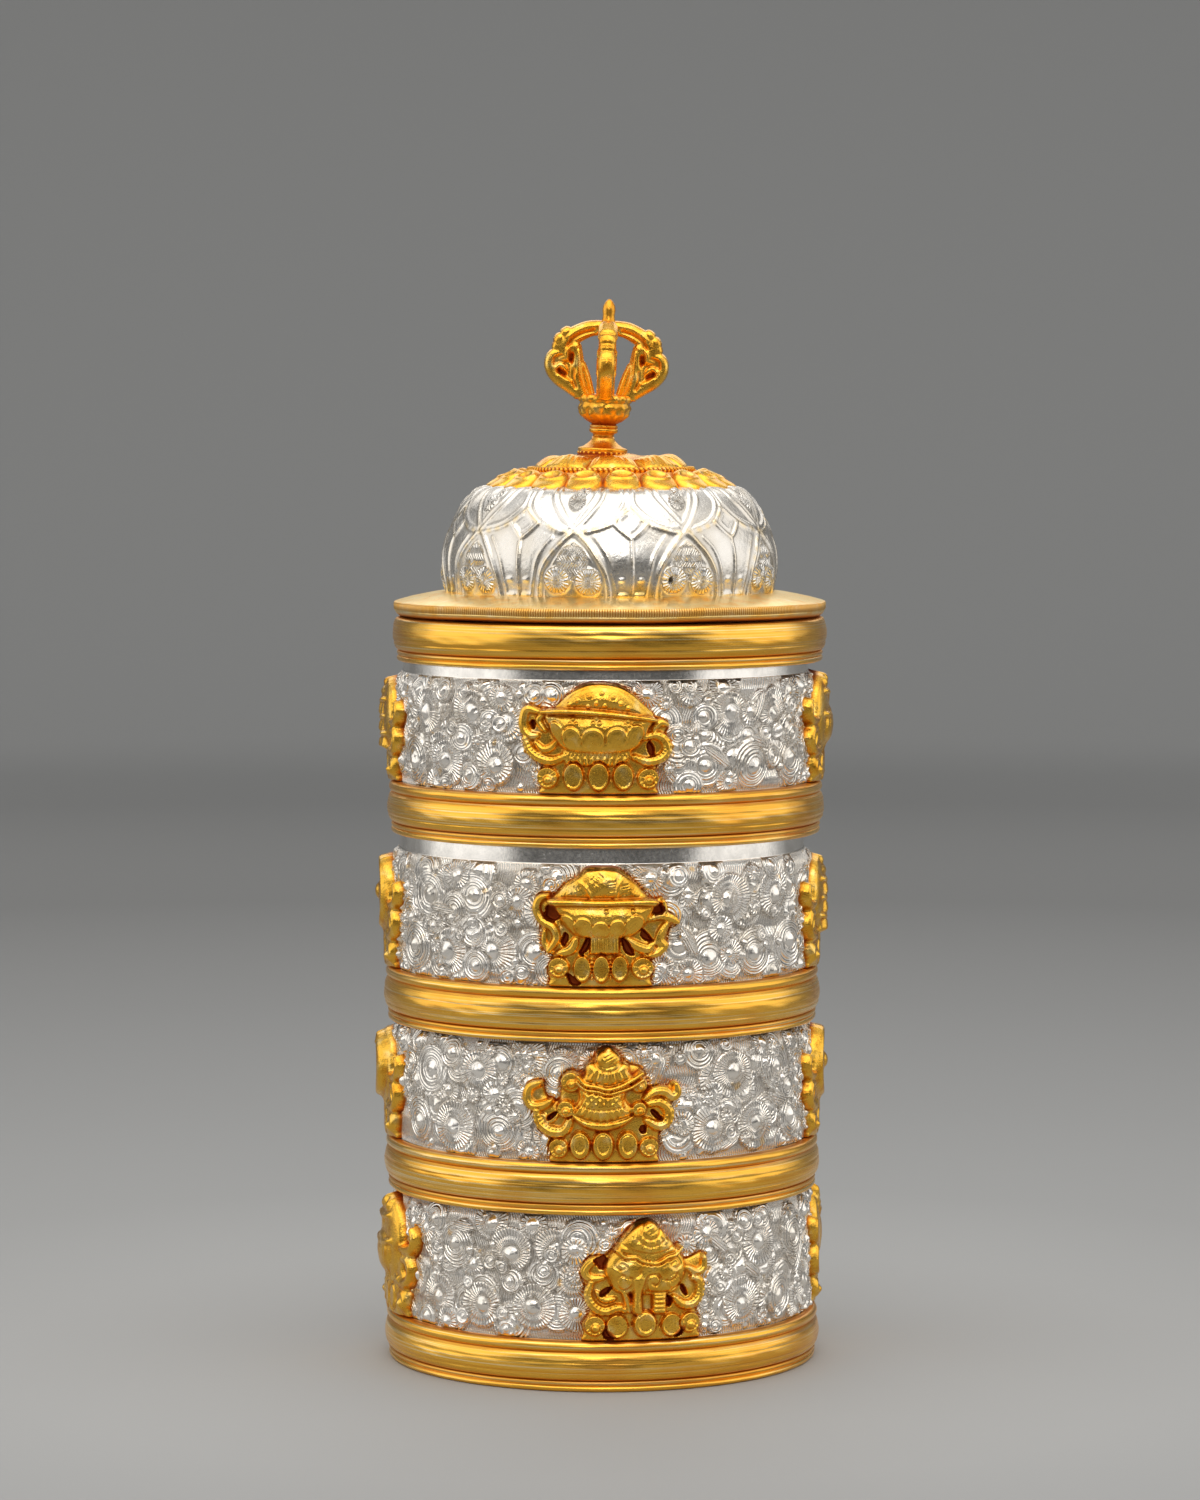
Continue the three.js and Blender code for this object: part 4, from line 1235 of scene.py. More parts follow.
def banner(r):
    commonFoot(r)
    for i in range(3):
        low, half = 5.0 + 2.9 * i, 4.3 - 0.35 * i
        flounce = (abs(r.x) < half) & (r.y > low) & (r.y < low + 3.1)
        r.add(1.4 + 2.0 * roof(r.x / half) - 0.16 * (r.y - low), flounce)
        r.hatch(flounce & (r.y < low + 2.0), np.arcsin(np.clip(r.x / half, -1, 1)) * 9, 0.2)
        r.ribbon([(-half, low + 2.7), (0, low + 2.3), (half, low + 2.7)], 0.8, 3.5, ends=0.8, folds=0.5)
    r.mound(0, 14.6, 3.0, 1.4, 3.0)
    r.mound(0, 16.2, 1.3, 1.2, 2.6)


# each motif's drawing and the height that it is drawn at
motifs = {
    "seed_bowl": (seedBowl, 16.9),
    "leaf_bowl": (leafBowl, 18.2),
    "parasol": (parasol, 17.3),
    "elephant": (elephant, 18.3),
    "conch": (conch, 17.0),
    "mirror": (mirror, 17.4),
    "vase": (vase, 17.2),
    "wheel": (wheel, 17.2),
    "lotus": (lotus, 17.0),
    "fish": (fish, 17.0),
    "knot": (knot, 17.0),
    "banner": (banner, 17.2),
}

emblem = {
    "width": 27.0,
    "frontStep": 0.125,
    "sideStep": 0.205,
    # heights over the moulding, where the photograph shows them; the others keep their solids'
    "seen": {"elephant": 18.5, "parasol": 17.8, "leaf_bowl": 18.3, "seed_bowl": 17.0},
    "sunk": -0.75,  # where its ground dips into the band
    "behind": -0.85,
    "tall": 3.1,  # heights over this one are lowered to a share of what is past it
    "pastTall": 0.7,
    "hollowReach": 0.55,
    "hollowDepth": 0.75,
    "coverReach": 0.3,
    "foot": -0.2,  # how far it reaches down behind the moulding
}

sides = {"front": 0, "right": 90, "back": 180, "left": 270}
covers = {tier: [] for tier in tierNames}  # what each emblem hides of the band


def makeEmblem(nodeName):
    side = nodeName.split("_")[-1]
    tier = next(name for name in tierNames if nodeName.startswith(name))
    motif = nodeName[len(tier) + 1 : -len(side) - 1]
    draw, drawnHeight = motifs[motif]
    low, high = corners(nodeName)
    step = emblem["frontStep"] if side == "front" else emblem["sideStep"]
    r = Relief(emblem["width"], drawnHeight + 0.5, step)
    draw(r)
    covered = r.h > 0
    height = blurred(np.where(covered, r.h, emblem["sunk"]), 1 if side == "front" else 2)
    tall = emblem["tall"]
    height = np.where(height > tall, tall + (height - tall) * emblem["pastTall"], height)
    # painted shade: the emblem's hollows, its openings and its low edges by the band are darkened
    cavityShade = hollows(height, round(emblem["hollowReach"] / step) ** 2, emblem["hollowDepth"])
    cavityShade = np.clip(cavityShade + 0.8 * r.dark + 0.6 * smooth(0.9, 0.4, height), 0, 1)
    scale = emblem["seen"].get(motif, high[2] - low[2]) / drawnHeight
    middle = math.radians(turns[tier] + sides[side]) - math.pi / 2
    angle = r.x / bandFace + middle
    z = low[2] + np.maximum(r.y, emblem["foot"]) * scale
    front = around(bandFace + height, z, angle, shifts[tier])
    behind = around(bandFace + emblem["behind"], z[[-1, 0]], angle[[-1, 0]], shifts[tier])
    points = np.concatenate([front, behind])
    shell, faces = surface(points, closeRows=True)
    rows, columns = points.shape[:2]
    # the two ends of the strip are closed with a fan of triangles each
    for column in (0, columns - 1):
        rim = np.arange(rows) * columns + column
        fan = np.stack([np.full(rows - 2, rim[0]), rim[1:-1], rim[2:]], 1)
        faces = np.vstack([faces, fan if column else fan[:, ::-1]])
    cover = blurred(covered.astype(float), round(emblem["coverReach"] / step) ** 2)
    covers[tier].append((middle, low[2], scale, r, cover))
    makePiece(
        nodeName + "_relief",
        [(shell, faces)],
        tier,
        castGilt,
        (nodeName,),
        {"cavityShade": np.concatenate([cavityShade, np.zeros((2, columns))])},
    )


for nodeName in sorted(frame["nodes"]):
    if nodeName.split("_")[-1] in sides:
        makeEmblem(nodeName)
print("emblems modelled")

# Silver bands: scrolls in relief round each tier

band = {
    "columns": 900,
    "rows": 96,
    "ground": 0.12,  # ground of the relief over the band's face
    "hiddenDensity": 0.4,  # columns behind an emblem, against the rest
    "hiddenHalf": 7.0,
    # the largest scrolls of each space between two emblems: along from its middle, up
    "places": [(-9.0, 4.6), (0.0, 4.4), (9.2, 4.8), (-5.0, 12.8), (5.0, 13.0)],
    "placesHeight": 18.4,
    "largest": 3.8,
    # scrolls and knobs: how many, smallest and largest radius, how close they may come
    "under": (120, 2.2, 3.4, 0.55),
    "discs": [(64, 1.8, 2.7, 0.9), (84, 1.0, 1.5, 0.8)],
    "knobs": (110, 0.35, 0.7, 0.75),
    "leaves": 12,
    "top": 1.25,  # relief over this one is lowered to a share of what is past it
    "pastTop": 0.2,
    "boss": 0.62,  # share of the largest scrolls that stays free
    "drawnIn": 0.6,  # how far the wall draws in at its top edge, and over what height
    "drawnOver": 1.9,
    "inside": 32.5,
    "spillBlur": 40,
}


def bandAngles(turn):
    # columns stand closer together where no emblem hides them
    fine = np.linspace(0, 2 * math.pi, 4001)
    fromEmblem = abs((fine + math.pi / 2 - turn + math.pi / 4) % (math.pi / 2) - math.pi / 4) * bandFace
    hidden = smooth(band["hiddenHalf"] + 1, band["hiddenHalf"], fromEmblem)
    density = 1 - (1 - band["hiddenDensity"]) * hidden
    passed = np.concatenate([[0], np.cumsum((density[1:] + density[:-1]) / 2)])
    even = np.linspace(0, passed[-1], band["columns"], endpoint=False)
    return np.interp(even, passed, fine)


def scatter(rng, count, smallest, largest, crowd, height, placed):
    # discs thrown at random, each kept if it isn't too near its own kind
    wanted = count + len(placed)
    for _ in range(count * 30):
        if len(placed) >= wanted:
            break
        radius = rng.uniform(smallest, largest)
        u, v = rng.uniform(0, bandAround), rng.uniform(0.25 * radius, height - 0.35 * radius)
        if placed:
            a, b, c = np.array(placed).T
            away = np.hypot((u - a + bandAround / 2) % bandAround - bandAround / 2, v - b)
            if (away < crowd * (radius + c)).any():
                continue
        placed.append((u, v, radius))
    return placed


class Band:
    def __init__(self, angle, v, height, seed):
        self.u, self.v, self.height = angle * bandFace, v, height
        self.rng = np.random.default_rng(seed)
        self.relief = np.zeros((len(v), len(angle)))
        # the ground is hatched too
        self.phase = self.u[None, :] * 15 + 5 * np.sin(1.3 * v[:, None])
        self.strength = 0.8 + self.relief

    def window(self, u, v, reach):
        du = (self.u - u + bandAround / 2) % bandAround - bandAround / 2
        columns = np.flatnonzero(abs(du) < reach)
        rows = np.flatnonzero(abs(self.v - v) < reach)
        return np.ix_(rows, columns), du[columns][None, :], (self.v[rows] - v)[:, None]

    def lay(self, where, inside, shape, phase, strength):
        self.relief[where] = np.where(inside, shape, self.relief[where])
        self.phase[where] = np.where(inside, phase, self.phase[where])
        self.strength[where] = np.where(inside, strength, self.strength[where])

    def scroll(self, u, v, radius):
        # a disc laid over what is there: a boss off its middle, rings, engraved lines, a rim
        rng = self.rng
        where, du, dv = self.window(u, v, radius + 0.5)
        distance = np.hypot(du, dv)
        share = np.clip(distance / radius, 0, 1)
        lean, shift = rng.uniform(0, 2 * math.pi), rng.uniform(0.05, 0.3) * radius
        eyeU = du - shift * math.cos(lean) * (1 - share)
        eyeV = dv - shift * math.sin(lean) * (1 - share)
        eye, turn = np.hypot(eyeU, eyeV), np.arctan2(eyeV, eyeU)
        bossRadius = rng.uniform(0.32, 0.46) * min(radius, 3.2)
        bossRise = rng.uniform(0.42, 0.68) * min(1, 0.45 + bossRadius / 2)
        under = np.minimum(self.relief[where], 0.55)
        level = rng.uniform(0.18, 0.42) + 0.35 * under
        tiltU, tiltV = rng.normal(0, 0.14, 2)
        shape = level + tiltU * du / radius + tiltV * dv / radius + 0.12 * roof(share)
        shape = shape + bossRise * np.clip(1 - (eye / bossRadius) ** 1.5, 0, 1) ** 0.9
        shape = shape - bump(eye - bossRadius * 1.05, 0.14, 0.16)
        shape = shape + bump(eye - bossRadius - 0.42, 0.17, 0.14)
        shape = shape + bump(distance - radius + 0.22, 0.16, 0.16)
        if radius > 2.7:
            ring = eye - 0.62 * radius
            shape = shape + bump(ring, 0.2, 0.2) - bump(ring - 0.3, 0.16, 0.12)
        lines = rng.random()
        if lines < 0.4:
            phase = abs(turn) * round(radius * rng.uniform(8, 11))
        else:
            phase = 2 * math.pi * eye / 0.5
        strength = np.where((eye > bossRadius * 1.1) & (share < 0.95), 1.0 if lines < 0.9 else 0.3, 0.0)
        groove = bump(distance - radius - 0.14, 0.16, 0.6)
        self.relief[where] *= 1 - groove
        self.lay(where, distance < radius, shape, phase, strength)

    def leaf(self, u, v, length, width, lean):
        # a long lobe with flutes along it
        where, du, dv = self.window(u, v, length)
        c, s = math.cos(lean), math.sin(lean)
        a, b = du * c + dv * s, dv * c - du * s
        half = width * np.clip(1 - (a / length) ** 2, 0.01, 1) ** 0.7
        q = b / half
        flutes = 0.1 * np.cos(q * 3 * math.pi)
        shape = 0.45 + (0.5 + flutes) * roof(q) * np.clip(1 - (a / length) ** 2, 0, 1) ** 0.4
        self.lay(where, (abs(q) < 1) & (abs(a) < length), shape, b * 18, 0.8)

    def knob(self, u, v, radius):
        where, du, dv = self.window(u, v, radius + 0.3)
        distance = np.hypot(du, dv)
        base = np.minimum(self.relief[where], 0.6)
        shape = base + 0.85 * radius * np.clip(1 - (distance / radius) ** 1.6, 0, 1) ** 0.8
        self.relief[where] -= bump(distance - radius - 0.08, 0.12, 0.14)
        self.lay(where, distance < radius, shape, 0.0, 0.0)


def chase(angle, v, height, turn, seed):
    made = Band(angle, v, height, seed)
    rng = made.rng
    large = []
    for quarter in range(4):
        middle = (turn - math.pi / 4 + quarter * math.pi / 2) * bandFace
        for along, up in band["places"]:
            place = middle + along + rng.uniform(-0.3, 0.3), up * height / band["placesHeight"]
            large.append((*place, band["largest"] * rng.uniform(0.9, 1.05)))
    for disc in scatter(rng, *band["under"], height, []) + large:
        made.scroll(*disc)
    # smaller ones may lie over the rims of the largest but not over their bosses
    kept = [(u, v, band["boss"] * radius) for u, v, radius in large]
    for leaves, discs in zip((band["leaves"], 0), band["discs"]):
        for disc in scatter(rng, *discs, height, list(kept))[len(kept) :]:
            made.scroll(*disc)
        for _ in range(leaves):
            place = rng.uniform(0, bandAround), rng.uniform(2, height - 2)
            size = rng.uniform(1.8, 3.0), rng.uniform(0.7, 1.0)
            made.leaf(*place, *size, rng.uniform(0, math.pi))
    for knob in scatter(rng, *band["knobs"], height, []):
        made.knob(*knob)
    relief = made.relief + rng.normal(0, 0.03, made.relief.shape) * (made.relief < 0.3)
    relief = np.clip(relief, 0, None)
    top = band["top"]
    relief = np.where(relief > top, top + band["pastTop"] * (relief - top), relief)
    return relief, made.phase, made.strength


def sampled(r, field, x, y):
    # a drawing's field at other places, zero outside the drawing
    step = r.xs[1] - r.xs[0]
    i, j = (y - r.ys[0]) / step, (x - r.xs[0]) / step
    rows, columns = field.shape
    inside = (i >= 0) & (j >= 0) & (i < rows - 1) & (j < columns - 1)
    i, j = np.clip(i, 0, rows - 1.001), np.clip(j, 0, columns - 1.001)
    low, left = i.astype(int), j.astype(int)
    f, g = i - low, j - left
    value = field[low, left] * (1 - f) * (1 - g) + field[low + 1, left] * f * (1 - g)
    value = value + field[low, left + 1] * (1 - f) * g + field[low + 1, left + 1] * f * g
    return np.where(inside, value, 0)


def makeBand(tier, seed):
    low, high = corners(tier + "_silver_band")
    foot, top = corners(tier + "_moulding")[1][2], high[2]
    height = top - foot
    angle = bandAngles(math.radians(turns[tier]))
    v = np.linspace(0, height, band["rows"])
    relief, phase, strength = chase(angle, v, height, math.radians(turns[tier]), seed)
    z = v[:, None] + foot + 0 * angle
    cover, spill = np.zeros_like(relief), np.zeros_like(relief)
    for middle, base, scale, r, field in covers[tier]:
        x = ((angle - middle + math.pi) % (2 * math.pi) - math.pi) * bandFace + 0 * z
        hidden = sampled(r, field, x, (z - base) / scale)
        cover = np.maximum(cover, hidden)
        soaked = blurred(field, band["spillBlur"])
        spill = np.maximum(spill, sampled(r, soaked, x, (z - base) / scale))
    shown = smooth(0.75, 0.2, cover)
    edge = smooth(-0.1, 0.5, v) * smooth(-0.05, 0.35, height - v)
    relief = blurred(relief, 1, wrap=True) * shown * edge[:, None]
    # towards the top the wall draws in onto the plain neck
    drawnIn = band["drawnIn"] * smooth(band["drawnOver"], 0.0, height - v)[:, None]
    radius = bandFace + band["ground"] + relief - drawnIn
    wander = 0.5 + 0.5 * np.sin(9 * angle + 2 * np.sin(5 * angle)) + 0.3 * np.sin(41 * angle)
    footStain = smooth(0.8, 0.0, v)[:, None] * 0.5 * wander
    fleck = blurred(np.random.default_rng(seed).normal(0, 1, relief.shape), 8, wrap=True)
    fleck = 0.7 * smooth(2.0, 2.8, fleck / fleck.std())
    stain = np.maximum(footStain, 1.6 * (spill - 0.06))
    stain = np.clip(np.maximum(stain, fleck), 0, 1) * smooth(1.0, 0.3, relief) * edge[:, None]
    inside = band["inside"]
    closing = [(inside + 0.02, top + 0.1), (inside, top + 0.2), (inside, low[2]), (bandFace, low[2])]
    # painted shade: the hollows of the relief are darkened through the cavity share
    values = {
        "cavityShade": hollows(relief, 10, 0.5, wrap=True) * edge[:, None],
        "hatchPhase": phase,
        "hatchStrength": strength * shown * edge[:, None],
        "stain": stain,
    }
    shell, values = closedBehind(radius, z, angle, shifts[tier], 0.0, closing, values)
    replaced = (tier + "_silver_band",)
    makePiece(tier + "_relief_band", [shell], tier, reliefSilver, replaced, values)


for seed, tier in enumerate(tierNames):
    makeBand(tier, 40 + seed)
print("silver bands chased")

# Lid: its heights are above the foot of its moulding

lidFoot = corners("lid_moulding")[0][2]

flange = {
    "teeth": 540,
    "perTooth": 3,
    "toothDepth": 0.14,
    "milledPast": 34.48,  # radius and height past which the edge is milled
    "milledOver": 8.3,
}


def makeFlange():
    # a thin plate that slopes up to the dome; the upper part of its edge is finely milled
    profile = [(24.6, 9.9), (33.0, 9.0), (33.3, 7.35), (33.75, 7.3), (34.15, 7.65), (34.45, 8.1)]
    profile += [(34.4, 8.2), (34.6, 8.34), (34.62, 9.2), (34.5, 9.4), (34.15, 9.52)]
    profile += [(32.4, 10.0), (30.0, 10.5), (28.4, 10.8), (27.2, 10.95), (24.6, 11.0)]
    profile = np.array(profile)
    angle = circle(flange["teeth"] * flange["perTooth"])
    tooth = 0.5 + 0.5 * np.cos(angle * flange["teeth"])
    milledRows = (profile[:, 0] > flange["milledPast"]) & (profile[:, 1] > flange["milledOver"])
    edge = milledRows.astype(float)[:, None]
    milled = flange["toothDepth"] * tooth * edge
    sag = 0.04 * np.sin(5 * angle) + 0.03 * np.sin(11 * angle + 1)
    points = around(profile[:, :1] - milled, profile[:, 1:] + sag, angle, lidShift, lidFoot)
    # painted shade: the underside next to the moulding and the grooves of the milling are darkened
    underShade = smooth(34.5, 33.7, profile[:, :1]) * (profile[:, 1:] < 9.2)
    makePiece(
        "lid_flange_gilt",
        [closedRing(points)],
        "lid",
        flangeGilt,
        ("lid_flange",),
        {"cavityShade": np.clip(5 * milled + 0.02 * edge + underShade + 0.03, 0, 1)},
        sharp=50,
    )


makeFlange()

dome = {
    "petals": 9,
    "firstPetal": -12.8,  # degrees from the front to a petal's middle, to the right
    "perPetal": 100,
    "rows": 88,
    "footHeight": 10.7,
    "ridge": 0.3,  # the outline runs over the ridges, so the ground lies this much lower
    "thickness": 0.9,
    "wander": 0.10,  # how far a hand-drawn line strays, and each of its points with it
    "waver": 0.05,
    "capRadius": 19.8,  # the cap hides what is nearer the axis
}

# a small hole: degrees to the right of the front, height, half width and height, mm to a degree
domeHole = {"turn": 20.6, "height": 2.9, "half": (0.3, 0.5), "perDegree": 0.466}

# radius and height of the dome over its ridges
domeOutline = [(26.3, 10.2), (26.5, 12.0), (26.72, 13.2), (26.92, 15.0), (26.88, 16.8), (26.6, 18.4)]
domeOutline += [(26.08, 20.0), (25.52, 21.6), (24.8, 23.2), (23.92, 24.8), (22.64, 26.4), (21.3, 27.5)]
domeOutline += [(19.4, 28.0), (15.0, 28.6), (9.0, 29.4), (3.0, 29.6)]

# lines of half a petal, in mm from its middle and above the foot: half width, rise, gilding
petalLines = [
    (
        [(0, 10.4), (1.0, 9.7), (2.2, 8.5), (3.3, 7.2), (4.7, 4.8), (5.4, 2.2), (5.6, -0.4)],
        0.34,
        0.38,
        0.45,
    ),
    ([(0, 8.9), (1.2, 8.0), (2.4, 6.6), (3.7, 4.5), (4.4, 2.0), (4.6, -0.4)], 0.16, 0.17, 0.3),
    ([(3.3, 9.6), (4.7, 8.1), (5.9, 6.0), (6.5, 3.6), (6.8, 1.6), (6.9, -0.4)], 0.20, 0.24, 0.2),
    ([(0, 10.3), (2.2, 10.5), (4.6, 11.2), (6.2, 12.0), (7.4, 13.0), (8.4, 14.1)], 0.28, 0.30, 0.5),
    (
        [(0.3, 10.9), (2.4, 11.2), (4.4, 11.8), (6.0, 12.8), (7.1, 14.2), (7.3, 15.4), (6.7, 16.7)]
        + [(5.8, 18)],
        0.24,
        0.28,
        0.0,
    ),
    ([(0.1, 10.8), (1.3, 12.0), (2.7, 13.7), (3.7, 15.5), (4.0, 18.0)], 0.26, 0.28, 0.15),
    ([(0.1, 11.8), (0.8, 12.9), (1.8, 14.3), (2.7, 16.0), (3.0, 18.0)], 0.17, 0.24, 0.1),
]

# the same for lines placed from the middle between two petals
betweenLines = [
    ([(0, -0.4), (0, 4.0), (0, 9.3)], 0.20, 0.34, 0.2),
    ([(0, 9.4), (1.3, 10.4), (2.6, 11.7)], 0.26, 0.32, 0.3),
    ([(0, 10.5), (0.8, 11.1), (1.5, 11.8), (0.8, 12.6), (0, 13.2)], 0.15, 0.22, 0.0),
    ([(0, 14.6), (0.1, 16.2), (0, 18.0)], 0.20, 0.22, 0.0),
]

# curled bosses of a petal: place, radius, rise
petalBosses = [
    (-2.4, 2.7, 2.2, 0.46),
    (2.5, 2.6, 2.2, 0.46),
    (0.0, 14.8, 1.35, 0.30),
    (0.7, 16.7, 0.9, 0.26),
]


def apart(x, y, path):
    # distance from a smooth path
    line = smoothPath(path, 11 * len(path))
    return np.hypot(x[..., None] - line[:, 0], y[..., None] - line[:, 1]).min(-1)


def domePetal(x, z, away, rng):
    # relief, stain, phase and strength of engraved lines over one petal
    relief, stain = 0.02 * rng.normal(0, 1, x.shape), np.zeros_like(x)
    phase, strength = np.zeros_like(x), np.zeros_like(x)
    for lines, across in ((petalLines, x), (betweenLines, away)):
        for side in (-1, 1):
            for path, width, rise, gilding in lines:
                path = np.array(path) + rng.normal(0, dome["wander"], 2)
                path = path + rng.normal(0, dome["waver"], path.shape)
                near = apart(np.where(across * side > -0.6, across * side, 99), z, path)
                relief = np.maximum(relief, rise * roof(np.clip(near / (1.5 * width), 0, 1)) ** 1.5)
                relief = relief - bump(near - 1.9 * width, 0.13, 0.07)
                held = gilding * np.clip(0.55 + 0.6 * np.sin(2.1 * z + 3.0 * x + rng.uniform(0, 6)), 0, 1)
                stain = np.maximum(stain, held * smooth(1.7 * width, 0.8 * width, near))
    for cx, cz, radius, rise in petalBosses:
        cx, cz = cx + rng.normal(0, 0.12), cz + rng.normal(0, 0.12)
        d, turn = np.hypot(x - cx, z - cz), np.arctan2(z - cz, x - cx)
        share = d / radius
        curl = 0.13 * np.cos(2 * math.pi * share * 2.0 + turn * np.sign(cx) + rng.uniform(0, 6))
        shape = 0.12 + (rise - 0.12) * np.clip(1 - share**3, 0, 1) ** 0.5 + curl * roof(share)
        relief = np.where(share < 1, np.maximum(relief, shape), relief - bump(d - radius - 0.1, 0.16, 0.12))
        phase = np.where(share < 0.95, abs(turn) * round(9 * radius), phase)
        strength = np.where(share < 0.95, 1.0, strength)
        under = smooth(0.35, 0.8, share) * smooth(1.12, 0.95, share) * smooth(-0.2, -0.7, (z - cz) / radius)
        stain = np.maximum(stain, 0.95 * under * (cz < 4))
    heart = np.hypot(x / 2.6, (z - 5.6) / 3.0)
    lumps = blurred(rng.normal(0, 0.6, x.shape), 3)
    relief = relief + smooth(1.0, 0.5, heart) * np.where(relief < 0.3, 0.12 + lumps, 0)
    strength = np.where((heart < 0.95) & (strength < 0.1), 0.7, strength)
    phase = np.where((heart < 0.95) & (phase == 0), 14 * x + 4 * np.sin(3 * z), phase)
    for place, height, half, tall in ((1.35, 0.45, 1.1, 0.42), (1.55, 2.9, 0.75, 0.2)):
        punch = np.hypot((abs(away) - place) / half, (z - height) / tall)
        relief = np.maximum(relief, 0.34 * roof(punch))
    return relief, stain, phase, strength


def makeDome():
    profile = smoothPath(domeOutline, 320)
    along = lengthAlong(profile)
    seen = along[np.argmax(profile[:, 0] < dome["capRadius"])]
    at = np.concatenate([np.linspace(0, seen, dome["rows"]), np.linspace(seen, along[-1], 10)[1:]])
    profile = evenly(profile, at)
    spacing = 360 / dome["petals"]
    s = np.linspace(-spacing / 2, spacing / 2, dome["perPetal"], endpoint=False)[None, :]
    x = np.radians(s) * profile[:, :1]
    away = np.radians(spacing / 2) * profile[:, :1] - abs(x)
    away = np.where(s < 0, -away, away)
    z = profile[:, 1:] - dome["footHeight"] + 0 * s
    rng = np.random.default_rng(5)
    fields = [domePetal(x, z, away, rng) for _ in range(dome["petals"])]
    relief, stain, phase, strength = (np.hstack([f[i] for f in fields]) for i in range(4))
    first = 270 + dome["firstPetal"] - spacing / 2
    angle = circle(dome["petals"] * dome["perPetal"]) + math.radians(first)
    across = (np.degrees(angle) - 270 - domeHole["turn"]) * domeHole["perDegree"]
    halfWide, halfTall = domeHole["half"]
    hole = np.hypot(across / halfWide, (z[:, :1] - domeHole["height"]) / halfTall)
    relief = blurred(relief, 1, wrap=True) - 0.9 * smooth(1.25, 0.75, hole)
    wander = 0.5 + 0.3 * np.sin(4 * angle + 1) + 0.3 * np.sin(17 * angle) + 0.15 * np.sin(53 * angle)
    foot = np.clip(smooth(2.6 * wander + 0.6, 0.2, z[:, :1]) * wander * 1.3, 0, 0.95)
    stain = np.maximum(blurred(stain, 1, wrap=True), foot * smooth(0.5, 0.25, relief))
    radius, height, normal = carved(profile, relief - dome["ridge"])
    inside = (profile - normal * (dome["ridge"] + dome["thickness"]))[::10][::-1]
    # painted shade: the hollows of the relief and the small hole are darkened
    cavityShade = np.clip(0.8 * hollows(relief, 10, 0.3, wrap=True) + smooth(1.2, 0.9, hole), 0, 1)
    values = {"cavityShade": cavityShade, "stain": stain, "hatchPhase": phase, "hatchStrength": strength}
    shell, values = closedBehind(radius, height, angle, lidShift, lidFoot, inside, values)
    makePiece("lid_dome_relief", [shell], "lid", domeSilver, ("lid_dome",), values)


makeDome()
print("dome chased")

# Cap of cushion petals, rope and rosette


def cushion(across, along):
    # a full cushion with a hollow and its lip near the top, on a plain ground
    q = np.hypot(across / 0.96, (along - 0.43) / 0.45)
    shape = 1.05 * np.clip(1 - q**2.6, 0, 1) ** 0.5
    hollow = np.hypot(across / 0.55, (along - 0.56) / 0.15)
    shape = shape - 0.75 * smooth(1.1, 0.3, hollow) + bump(hollow - 1.25, 0.22, 0.2) * (q < 0.97)
    return shape + 0.1 * smooth(0.86, 0.94, along)


def rosettePetal(across, along):
    # a round hump with a leaf's rib down its middle and slanted veins
    rise = smooth(-0.03, 0.12, along) * (0.4 + 0.6 * smooth(0.0, 0.5, along))
    swell = roof(across) ** 0.8 * rise * smooth(1.02, 0.5, along) ** 0.5
    veins = 0.05 * np.cos(26 * abs(across) + 14 * along) * smooth(0.1, 0.3, abs(across))
    rib = bump(across, 0.10, 0.12) + bump(abs(across) - 0.55, 0.07, 0.07)
    valley = bump(abs(across) - 1, 0.15, 0.5) * smooth(0.7, 0.3, along)
    return 1.2 * swell + (veins + rib) * swell - valley


capShift = lidShift + 0.2

# the two rings of cast petals, each a turned outline with plain rows that close it from behind
petalRings = [
    {
        "name": "lotus_cap_petals",
        "replaced": "lotus_cap",
        "petal": cushion,
        "petals": 18,
        "first": 5.8,  # degrees from the front to a petal's middle, to the right
        "perPetal": 40,
        "rows": 46,
        "outline": [(20.0, 27.1), (19.6, 27.4), (18.3, 27.9), (17.2, 28.5), (16.2, 29.1)]
        + [(15.2, 29.6), (14.2, 29.95), (13.3, 30.05)],
        "closing": [(12.2, 30.2), (6, 31.0), (6, 30.6), (9, 29.9), (16.6, 28.2), (19.2, 26.9)],
    },
    {
        "name": "petal_rosette_crown",
        "replaced": "petal_rosette",
        "petal": rosettePetal,
        "petals": 8,
        "first": 2.0,
        "perPetal": 74,
        "rows": 34,
        "outline": [(12.0, 30.2), (11.8, 30.7), (10.9, 31.1), (9.7, 31.4), (8.3, 31.7), (6.6, 32.1)],
        "closing": [(5, 32.6), (3, 33.0), (3, 31.75), (9, 30.7), (11.7, 30.0)],
    },
]

rope = {
    "radius": 13.0,
    "height": 30.45,
    "thick": 0.5,
    "least": 0.66,  # share of the thickness between two strands
    "twists": 100,
    "perTwist": 10,
    "section": 14,
}


def makeGilt(name, shells, replaced, cavityShade):
    makePiece(name, shells, "lid", lidGilt, (replaced,), {"cavityShade": cavityShade})


def makePetals(ring):
    profile = smoothPath(ring["outline"], 200)
    total = lengthAlong(profile)[-1]
    along = np.linspace(0, 1, ring["rows"])
    profile = evenly(profile, along * total)
    petals, first = ring["petals"], ring["first"]
    angle = circle(petals * ring["perPetal"])
    across = ((np.degrees(angle) - 270 - first) * petals / 360 + 0.5) % 1 * 2 - 1
    uneven = 1 + 0.10 * np.sin(3 * angle + first) + 0.06 * np.sin(7 * angle)
    relief = ring["petal"](across[None, :], along[:, None]) * uneven
    relief = blurred(relief, 1, wrap=True)
    radius, height, _ = carved(profile, relief)
    # painted shade: the hollows of the petals, the dimples of the cushions too, are darkened
    values = {"cavityShade": hollows(relief, 14, 0.32, wrap=True)}
    shell, values = closedBehind(radius, height, angle, capShift, lidFoot, ring["closing"], values)
    makeGilt(ring["name"], [shell], ring["replaced"], values["cavityShade"])


